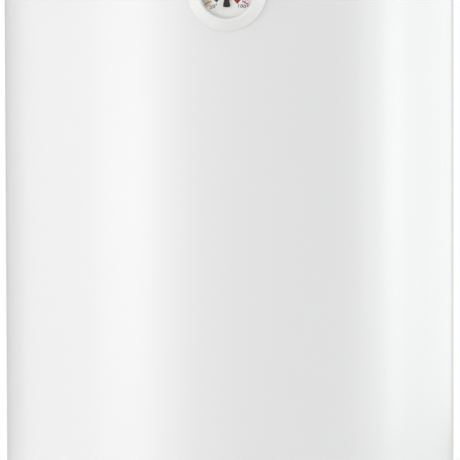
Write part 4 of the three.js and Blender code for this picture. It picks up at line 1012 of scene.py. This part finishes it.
class HEATER_OT_reset(Operator):
    """Add the overheat reset button and its return spring"""

    bl_idname = "heater.reset"
    bl_label = "Add Reset Button"

    def execute(self, context):
        button = moved(self.button(), middle("reset_button"))
        red = moulded("red_plastic_button", colours().hot, 0.34, 0.46)
        finished(button, red, "red_plastic", "reset_button", body="button")
        steel = bare_metal("spring_steel", *STEEL, stretch=(1, 1, 1))
        spring = finished(self.spring(), steel, "stainless_steel", "reset_spring")
        joint = JOINTS["reset_press"]
        anchor = middle("reset_button")
        anchor.z = joint["deforming_nodes"][0]["fixed_end_z_m"]
        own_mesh(spring)
        return {"FINISHED"}

    def button(self):
        """A short pin with a rounded, slightly hollow end."""
        radius = half_width("reset_button")
        half = middle("reset_button").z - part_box("reset_button")[0].z
        return turned("reset_button_fine", rounded([
            (0, 0.25 * MM - half), (radius - 0.9 * MM, -half, 0.5 * MM), (radius, 0.7 * MM - half, 0.6 * MM),
            (radius, half, 0.2 * MM), (0, half),
        ], 4), 48)

    def spring(self):
        """A round wire, carried four times around while it rises."""
        low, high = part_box("reset_spring")
        wire, turns = 0.35 * MM, 4
        coil = high.x - middle("reset_button").x - wire
        bpy.ops.object.select_all(action="DESELECT")
        bpy.ops.mesh.primitive_circle_add(
            vertices=12, radius=wire, location=(coil, 0, low.z + wire), rotation=(pi / 2, 0, 0)
        )
        spring = named(moved(bpy.context.object, Vector()), "reset_spring_fine")
        rise = (high.z - low.z - 2 * wire) / turns
        modified(
            spring, "SCREW", angle=2 * pi, screw_offset=rise, iterations=turns, steps=32, render_steps=32
        )
        open_mesh(spring)
        bpy.ops.mesh.fill_holes(sides=0)
        close_mesh()
        return moved(tidy_mesh(spring), over(middle("reset_button")))


# ---------------------------------------------------------------- hanging brackets


def bolt_place(bolt):
    """Turns +Z out through a bolt's foot, and carries the origin to the jacket's skin."""
    fittings = bpy.context.scene.heater_fittings
    centre = middle(bolt)
    side = 1 if centre.x > 0 else -1
    turn = Matrix.Rotation(-side * fittings.foot_angle, 4, "Z") @ Matrix.Rotation(-pi / 2, 4, "X")
    return Matrix.Translation((AXIS.x, AXIS.y, centre.z)) @ turn @ Matrix.Translation((0, 0, JACKET_RADIUS))


class HEATER_OT_brackets(Operator):
    """Add the two hanging brackets and their bolts"""

    bl_idname = "heater.brackets"
    bl_label = "Add Brackets"

    def execute(self, context):
        fittings = context.scene.heater_fittings
        zinc = galvanised("zinc_brackets", 0.64)
        for name in ("upper_bracket", "lower_bracket"):
            finished(self.bracket(name, fittings), zinc, "zinc_steel", name)
        bright = galvanised("zinc_bolts", 0.58)
        master = self.bolt(fittings)
        for name in BOLTS:
            bolt = copied(master, f"{name}_fine", bolt_place(name))
            finished(bolt, bright, "zinc_steel", name)
        bpy.data.objects.remove(master)
        return {"FINISHED"}

    def bracket(self, name, fittings):
        """A strip bent to a flat on the wall, two legs and two feet, with keyholes and bolt holes."""
        low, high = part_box(name)
        sheet, turn = fittings.bracket_sheet, fittings.foot_angle
        wall = high.y - AXIS.y - WELD
        outer = JACKET_RADIUS + GAP + sheet

        def foot(along):
            return (outer * sin(turn) + along * cos(turn), outer * cos(turn) - along * sin(turn))

        right = [foot(fittings.foot), (*foot(-fittings.foot + sheet), 4 * MM), (66 * MM, wall, 5 * MM)]
        left = [(-p[0], *p[1:]) for p in reversed(right)]
        line = rounded([*right, *left], 6)
        strip = drawn(f"{name}_fine", [(x, y, low.z) for x, y in line])
        bpy.ops.mesh.select_all(action="SELECT")
        bpy.ops.mesh.extrude_region_move(TRANSFORM_OT_translate={"value": (0, 0, high.z - low.z)})
        close_mesh()
        moved(strip, AXIS)
        modified(strip, "SOLIDIFY", thickness=sheet, offset=-1, use_even_offset=True)
        tidy_mesh(strip)
        centre = (low.z + high.z) / 2
        entry = centre - fittings.slot_rise / 2
        for side in (-1, 1):
            x = side * fittings.keyhole_spacing / 2
            keyhole = [
                *arc(x, entry, fittings.keyhole, fittings.keyhole, 129, 411, 24),
                *arc(x, entry + fittings.slot_rise, fittings.slot, fittings.slot, 0, 180, 12),
            ]
            tool = plate("keyhole", keyhole, -20 * MM, 20 * MM)
            cut(strip, moved(tool, Matrix.Rotation(pi / 2, 4, "X")))
        here = [bolt for bolt in BOLTS if low.z < middle(bolt).z < high.z]
        cut(strip, *[moved(peg(BOLT_HOLE, -2 * MM, 12 * MM, sides=32), bolt_place(bolt)) for bolt in here])
        return bevelled(strip, 0.35 * MM, 50)

    def bolt(self, fittings):
        """A hexagon bolt along Z, with the jacket's skin at zero."""
        seat = 2 * GAP + fittings.bracket_sheet
        head = seat + 5.3 * MM
        corner = fittings.bolt_flats / sqrt(3)
        bolt = turned("bolt", [
            (0, head), (corner * 0.84, head), (corner, head - 0.9 * MM),
            (corner, seat + 0.3 * MM), (corner - 0.5 * MM, seat), (0, seat),
        ], 96)
        combined(bolt, [hexagon(fittings.bolt_flats, seat - MM, head + MM)], "INTERSECT")
        core, crest, pitch, end = 3.35 * MM, 4 * MM, 1.25 * MM, seat - 22 * MM
        turns = thread(core, crest, end + MM, pitch, 13)
        shank = turned("shank", [
            (0, end), (core - 0.4 * MM, end), *turns,
            (crest, turns[-1][1] + MM), (crest, seat + MM), (0, seat + MM),
        ], 48)
        return combined(bolt, [shank], "UNION")


# ---------------------------------------------------------------- thermometer


def gauge_place():
    """Carries a gauge piece to the casing's front: its +Z points out, and its +Y up."""
    return Matrix.Translation(GAUGE) @ Matrix.Rotation(pi / 2, 4, "X")


def levels(node):
    """How far a gauge piece's back and front stand over the jacket."""
    low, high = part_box(node)
    return GAUGE.y - high.y, GAUGE.y - low.y


class HEATER_OT_thermometer(Operator):
    """Add the thermometer's bezel, dial and lens"""

    bl_idname = "heater.thermometer"
    bl_label = "Add Thermometer"

    def execute(self, context):
        gauge = context.scene.heater_gauge
        plastic = moulded("white_gauge_plastic", colours().bezel, 0.28, 0.4, 6e-6)
        finished(self.bezel(gauge), plastic, "white_gauge_plastic", "thermometer_bezel")
        ground = printed("dial_ground", colours().dial)
        finished(self.dial(), ground, "printed_dial", "thermometer_dial")
        finished(self.lens(), clear_lens("clear_lens"), "clear_lens", "thermometer_lens")
        return {"FINISHED"}

    def bezel(self, gauge):
        crest = WINDOW_RADIUS + gauge.crest
        ledge = levels("thermometer_dial")[0] - GAP
        throat = levels("thermometer_dial")[1] + 0.12 * MM
        bore = half_width("thermometer_cup") + GAP
        ring = turned("thermometer_bezel_fine", rounded([
            (bore, -6 * MM), (BEZEL_RADIUS, -6 * MM), (BEZEL_RADIUS, gauge.edge, 0.7 * MM),
            (crest, BEZEL_PROUD - 0.15 * MM, 0.9 * MM),
            (WINDOW_RADIUS + gauge.bevel, BEZEL_PROUD - 0.1 * MM, 0.4 * MM),
            (WINDOW_RADIUS, levels("thermometer_lens")[1], 0.2 * MM),
            (WINDOW_RADIUS, levels("thermometer_lens")[0] - 0.1 * MM), (WINDOW_RADIUS - gauge.throat, throat),
            (WINDOW_RADIUS, throat), (WINDOW_RADIUS, ledge), (bore, ledge),
        ], 6), 192)
        moved(ring, gauge_place())
        casing = bpy.context.scene.heater_casing
        drum = peg(JACKET_RADIUS + GAP, JACKET_LOW.z, JACKET_HIGH.z, AXIS.xy, casing.facets)
        return cut(ring, drum)

    def dial(self):
        low, high = levels("thermometer_dial")
        radius = half_width("thermometer_dial")
        outline = rounded([
            (PIVOT_HOLE, low), (radius, low), (radius, high, 0.15 * MM), (PIVOT_HOLE, high, 0.1 * MM),
        ], 2)
        return moved(turned("dial_plate", outline, 128), gauge_place())

    def lens(self):
        """A disc with a flat back and a very slightly domed front."""
        low, high = levels("thermometer_lens")
        radius = half_width("thermometer_lens")
        rise = 0.5 * MM
        dome = [(radius * k / 9, high - rise * (k / 9) ** 2) for k in range(9, 0, -1)]
        outline = [(0, low), (radius - 0.2 * MM, low), (radius, low + 0.2 * MM), *dome, (0, high)]
        return moved(turned("lens_disc", outline, 128), gauge_place())


class HEATER_OT_dial_print(Operator):
    """Print the dial: the tinted ring, its graduations, the band from cold to hot and the numbers"""

    bl_idname = "heater.dial_print"
    bl_label = "Print Dial"

    def execute(self, context):
        gauge, tones = context.scene.heater_gauge, colours()
        ground = levels("thermometer_dial")[1]
        line, under_bezel = gauge.ring_line, gauge.ring_outer + 0.6 * MM
        ring = self.tint("dial_ring", line, under_bezel, gauge)
        inner_ring = self.tint("dial_inner_ring", gauge.ring_inner, line - 0.03 * MM, gauge)
        for piece, ink in (
            (ring, printed("ring_ink", tones.ring_cold, tones.ring_hot, 20 * MM)),
            (inner_ring, printed("inner_ring_ink", tones.inner_cold, tones.inner_hot, 20 * MM)),
            (self.band(gauge), printed("band_ink", tones.band_cold, tones.band_hot, 9 * MM)),
            (self.ticks(gauge), printed("tick_ink", tones.tick_cold, tones.tick_hot, 16 * MM)),
            (self.numbers(gauge), printed("number_ink", tones.number)),
        ):
            moved(piece, gauge_place() @ Matrix.Translation((0, 0, ground)))
            finished(piece, ink, "printed_dial")
        return {"FINISHED"}

    def strip(self, name, cold, hot, start, stop, low, high, corner=0):
        """A strip around the dial's middle. It runs from its cold to its hot (inner, outer) radii."""
        parts = [i / 120 for i in range(121)]
        turns = [start + (stop - start) * k for k in parts]
        outside, inside = [
            [((c + (h - c) * k) * sin(turn), (c + (h - c) * k) * cos(turn)) for k, turn in zip(parts, turns)]
            for c, h in zip(cold[::-1], hot[::-1])
        ]
        line = [*outside, *reversed(inside)]
        if corner:
            ends = [(*point, corner) for point in (outside[-1], inside[-1], inside[0], outside[0])]
            line = [*outside[4:-4], *ends[:2], *reversed(inside[4:-4]), *ends[2:]]
        return plate(name, rounded(line, 4), low, high)

    def tint(self, name, inner, outer, gauge):
        """One of the graduated ring's two tints."""
        sweep = gauge.sweep + radians(8)
        return self.strip(name, (inner, outer), (inner, outer), -sweep, sweep, 0.005 * MM, gauge.ink)

    def band(self, gauge):
        """Widens from its cold end to its hot end."""
        cold, hot = (
            (gauge.band - wide / 2, gauge.band + wide / 2) for wide in (gauge.band_cold, gauge.band_hot)
        )
        start, stop = -gauge.sweep - radians(16.5), gauge.sweep + radians(19)
        return self.strip("dial_band", cold, hot, start, stop, 0.005 * MM, gauge.ink, 0.6 * MM)

    def ticks(self, gauge):
        """A graduation for every five degrees of warmth, and the ring's line."""
        count = (gauge.hottest - gauge.coldest) // 5
        line = (gauge.ring_line - 0.15 * MM, gauge.ring_line + 0.15 * MM)
        marks = [self.strip("line", line, line, -gauge.sweep, gauge.sweep, gauge.ink, 1.6 * gauge.ink)]
        for i in range(count + 1):
            long = i % 4 == 0
            if long and 0 < i < count:
                continue  # a number stands here instead
            half = (0.45 if long else 0.3 if i % 2 == 0 else 0.22) * MM
            inner = gauge.ring_inner + (0.2 * MM if long else 2.6 * MM)
            outer = gauge.ring_outer - (0 if long else 0.9 * MM if i % 2 == 0 else 1.8 * MM)
            mark = plate("tick", rounded(slab(half, inner, outer, 0.2 * MM), 3), gauge.ink, 2 * gauge.ink)
            marks.append(moved(mark, Matrix.Rotation(gauge.sweep - 2 * gauge.sweep * i / count, 4, "Z")))
        return named(joined(*marks), "dial_ticks")

    def numbers(self, gauge):
        """The two ends of the scale below their graduations, and the numbers between on the ring."""
        made = []
        steps = (gauge.hottest - gauge.coldest) // 20
        for i in range(1, steps):
            turn = gauge.sweep * (2 * i / steps - 1)
            at = Matrix.Rotation(-turn, 4, "Z") @ Matrix.Translation((0, 20.9 * MM, 0))
            made.append(self.number(str(gauge.coldest + 20 * i), gauge, at))
        for number, turn, radius, lean in ((gauge.coldest, -139, 19.2, 13), (gauge.hottest, 133, 21.2, -8)):
            at = Vector((radius * sin(radians(turn)), radius * cos(radians(turn)), 0)) * MM
            place = Matrix.Translation(at) @ Matrix.Rotation(radians(lean), 4, "Z")
            made.append(self.number(f"{number}\N{DEGREE SIGN}", gauge, place))
        return named(joined(*made), "dial_numbers")

    def number(self, text, gauge, place):
        bpy.ops.object.select_all(action="DESELECT")
        bpy.ops.object.text_add(location=(0, 0, 0))
        line = bpy.context.object
        line.data.body = text
        line.data.align_x, line.data.align_y = "CENTER", "CENTER"
        line.data.size = gauge.number / 0.7
        line.data.space_character = 1.12
        line.data.resolution_u = 6  # a finer outline crosses itself once it is thickened
        line.scale.x = 1.18
        line.data.offset = 0.13 * MM
        line.data.extrude = gauge.ink / 2
        bpy.ops.object.convert(target="MESH")
        return moved(tidy_mesh(bpy.context.object), place @ Matrix.Translation((0, 0, 1.6 * gauge.ink)))


class HEATER_OT_needle(Operator):
    """Add the thermometer's needle"""

    bl_idname = "heater.needle"
    bl_label = "Add Needle"

    def execute(self, context):
        low, high = levels("thermometer_needle")
        blade_top = low + 0.6 * MM
        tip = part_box("thermometer_needle")[1].z - GAUGE.z
        tail = GAUGE.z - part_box("thermometer_needle")[0].z
        wide = half_width("thermometer_needle")
        needle = plate("needle_blade", [
            (0.25 * MM, tip), (-0.25 * MM, tip), (-0.9 * MM, 0),
            *[(wide * k / 4, 0.6 * MM * (k / 4) ** 2 - tail) for k in (-4, -3, -2, -1, 0, 1, 2, 3, 4)],
            (0.9 * MM, 0),
        ], low, blade_top)
        hub = turned("hub", [
            (0, low), (2.6 * MM, low), (2.6 * MM, blade_top + 0.2 * MM),
            *arc(0, blade_top, 2.3 * MM, high - blade_top, 10, 90, 7),
        ], 48)
        combined(needle, [hub], "UNION")
        cut(needle, peg(PIVOT_HOLE, low - MM, blade_top + 0.2 * MM, sides=32))
        moved(bevelled(needle, 0.08 * MM, 50), gauge_place())
        brown = lacquer("needle_lacquer", colours().needle)
        finished(needle, brown, "needle_lacquer", "thermometer_needle", body="needle")
        return {"FINISHED"}


# ---------------------------------------------------------------- inner pieces


class HEATER_OT_inner_finishes(Operator):
    """Finish the tank, the flange unit and the other pieces inside the casing"""

    bl_idname = "heater.inner_finishes"
    bl_label = "Finish Inner Pieces"

    def execute(self, context):
        nuts = [f"flange_nut_{i}" for i in range(1, 6)]
        for material, *names in (
            (cellular_foam("insulation_foam"), "insulation_foam"),
            (glazed_steel("glazed_tank_steel"),
             "tank_cylinder", "tank_top_dome", "tank_bottom_dome", "flange_neck"),
            (moulded("diffuser_plastic", (0.70, 0.70, 0.67), 0.4, 0.55), "inlet_diffuser"),
            (bare_metal("stainless_steel", *STEEL), "outlet_dip_tube", "sensor_well"),
            (rubber("black_rubber"), "flange_gasket"),
            (galvanised("zinc_inside", 0.60), "flange_plate", "anode_nut", *nuts),
            (bare_metal("copper", (0.62, 0.27, 0.16), (0.24, 0.11, 0.07), 0.28, 0.5),
             "heating_element", "thermostat_sensor_rod", "bimetal_coil"),
            (steel_body("magnesium", (0.42, 0.43, 0.44)), "anode_rod"),
            (moulded("grey_plastic", GREY, 0.42, 0.56, 20e-6), "thermostat_case", "gland_locknut"),
            (bare_metal("brass", (0.62, 0.44, 0.18), (0.33, 0.22, 0.09)),
             "temperature_spindle", "thermometer_cup", "needle_pivot"),
            (moulded("black_plastic", (0.022, 0.022, 0.023), 0.4, 0.58, 30e-6), "terminal_block"),
            (wire_sleeve("blue_wire", (0.02, 0.09, 0.36)), "lamp_lead_1", "element_lead_1"),
            (wire_sleeve("brown_wire", (0.13, 0.055, 0.02)), "lamp_lead_2", "element_lead_2"),
            (wire_sleeve("green_wire", (0.12, 0.30, 0.03), (0.62, 0.52, 0.02)), "earth_lead"),
        ):
            for name in names:
                node = frame["nodes"][name]
                node.data.materials.clear()
                node.data.materials.append(material)
        return {"FINISHED"}


# ---------------------------------------------------------------- stage

FLOOR_RADIUS = 3.0
FLOOR_DROP = 0.25  # below the heater's lowest piece
STRIP_WIDTH = 15  # degrees around the heater

# A soft light at the left and a large one at the right, each of strips that touch: degrees and watts.
STRIP_LAMPS = (
    (-120, 1.1), (-105, 1.3), (-90, 1.6), (-75, 2.1), (-60, 6.1), (-45, 8.2), (-30, 4.4), (-15, 0.8),
    (75, 4.5), (90, 8.95), (105, 4.7), (120, 3.0), (135, 2.3), (150, 1.8),
)


class HEATER_OT_stage(Operator):
    """Set the floor, the world, the lamps and the camera"""

    bl_idname = "heater.stage"
    bl_label = "Set Stage"

    def execute(self, context):
        stage = context.scene.heater_stage
        context.scene.view_settings.view_transform = "Standard"
        self.world(context.scene, stage)
        self.floor()
        for degrees, watts in STRIP_LAMPS:
            self.lamp(degrees, watts, stage)
        self.camera(context.scene, stage)
        return {"FINISHED"}

    def world(self, scene, stage):
        """Even light all around, and a white ground where it is seen directly, mirrored or through glass.

        A mirror sees it white above and below, and dimmer around the horizon. That draws a pale body's edges.
        """
        world = scene.world = bpy.data.worlds.new("studio")
        made = Nodes(world)
        even = made.tree.nodes["Background"]
        even.inputs["Color"].default_value = (1, 1, 1, 1)
        even.inputs["Strength"].default_value = stage.ambient
        parts = made.add("SeparateXYZ", {0: made.add("TexCoord").outputs["Generated"]})
        mirrored = made.span(made.maths("ABSOLUTE", parts.outputs["Z"]), stage.horizon, 1, 0.3, 0.75)
        strength = made.maths("MAXIMUM", made.either("Camera", "Transmission"), mirrored)
        white = made.add("Background", {"Color": (1, 1, 1, 1), "Strength": strength})
        made.show(made.blend(made.either("Camera", "Transmission", "Glossy"), even, white), "World Output")

    def floor(self):
        """A pale floor that fades into the white ground, and that can be seen through from below."""
        bpy.ops.object.select_all(action="DESELECT")
        centre = over(AXIS, CAD_BOX[0].z - FLOOR_DROP)
        bpy.ops.mesh.primitive_circle_add(vertices=96, radius=FLOOR_RADIUS, fill_type="NGON", location=centre)
        floor = named(moved(bpy.context.object, Vector()), "floor")
        made = Finish("pale_floor", Roughness=0.9, Specular_IOR_Level=0.1)
        made.shader.inputs["Base Color"].default_value = (0.86, 0.86, 0.86, 1)
        centred = made.stretched((0.34, 0.34, 0.34), centre)
        near = made.add("TexGradient", {"Vector": centred}, gradient_type="SPHERICAL").outputs["Fac"]
        direct = made.either("Camera", "Transmission", "Glossy")
        glow = made.add("Emission", {"Color": (1, 1, 1, 1), "Strength": 1.0})
        fade = made.maths("MULTIPLY", direct, made.span(near, 1, 0.18, 0.0, 0.75))
        white = made.blend(fade, made.shader, glow)
        below = made.add("NewGeometry").outputs["Backfacing"]
        made.show(made.blend(below, white, made.add("BsdfTransparent")))
        floor.data.materials.append(made.material)

    def lamp(self, degrees, watts, stage):
        """An upright strip lamp at this many degrees to the right of the heater's front."""
        turn, far = radians(degrees), stage.strip_distance
        side, tall = ("right", stage.right_height) if degrees > 0 else ("left", stage.left_height)
        place = (AXIS.x + far * sin(turn), AXIS.y - far * cos(turn), stage.strip_top - tall / 2)
        bpy.ops.object.light_add(type="AREA", location=place)
        lamp = named(bpy.context.object, f"strip_{side}_{abs(degrees)}")
        lamp.data.shape = "RECTANGLE"
        lamp.data.size, lamp.data.size_y = 2 * far * tan(radians(STRIP_WIDTH / 2)), tall
        lamp.data.energy = watts
        lamp.data.color = (0.97, 0.985, 1) if degrees > 0 else (1, 1, 1)
        lamp.rotation_euler = (pi / 2, 0, turn)
        lamp.visible_camera = False

    def camera(self, scene, stage):
        bpy.ops.object.camera_add()
        camera = bpy.context.object
        camera.name = "camera"
        turn, rise = stage.azimuth, stage.elevation
        back = Vector((sin(turn) * cos(rise), -cos(turn) * cos(rise), sin(rise)))
        camera.location = Vector(stage.aim) + back * stage.distance
        facing = (-back).to_track_quat("-Z", "Y").to_matrix() @ Matrix.Rotation(stage.roll, 3, "Z")
        camera.rotation_euler = facing.to_euler()
        camera.data.lens = stage.lens
        camera.data.clip_end = 50
        scene.camera = camera


# ---------------------------------------------------------------- panel and registration

OPERATORS = (
    HEATER_OT_stage,
    HEATER_OT_jacket,
    HEATER_OT_caps,
    HEATER_OT_service_cover,
    HEATER_OT_pipes,
    HEATER_OT_controls,
    HEATER_OT_reset,
    HEATER_OT_brackets,
    HEATER_OT_thermometer,
    HEATER_OT_dial_print,
    HEATER_OT_needle,
    HEATER_OT_inner_finishes,
)


class HEATER_PT_panel(Panel):
    """Lists the heater's pieces and its settings"""

    bl_label = "Water Heater"
    bl_idname = "HEATER_PT_panel"
    bl_space_type = "VIEW_3D"
    bl_region_type = "UI"
    bl_category = "Water Heater"

    def draw(self, context):
        for operator in OPERATORS:
            self.layout.operator(operator.bl_idname)
        for name in SETTINGS:
            box = self.layout.box()
            settings = getattr(context.scene, name)
            for field in settings.bl_rna.properties:
                if field.identifier not in ("rna_type", "name"):
                    box.prop(settings, field.identifier)


SETTINGS = {
    "heater_casing": HeaterCasing,
    "heater_fittings": HeaterFittings,
    "heater_gauge": HeaterGauge,
    "heater_colours": HeaterColours,
    "heater_stage": HeaterStage,
}


def register():
    for kind in (*SETTINGS.values(), *OPERATORS, HEATER_PT_panel):
        bpy.utils.register_class(kind)
    for name, kind in SETTINGS.items():
        setattr(bpy.types.Scene, name, PointerProperty(type=kind))


def unregister():
    for name in SETTINGS:
        delattr(bpy.types.Scene, name)
    for kind in reversed((*SETTINGS.values(), *OPERATORS, HEATER_PT_panel)):
        bpy.utils.unregister_class(kind)


def main():
    register()
    for operator in OPERATORS:
        group, name = operator.bl_idname.split(".")
        getattr(getattr(bpy.ops, group), name)()


if __name__ == "__main__":
    main()
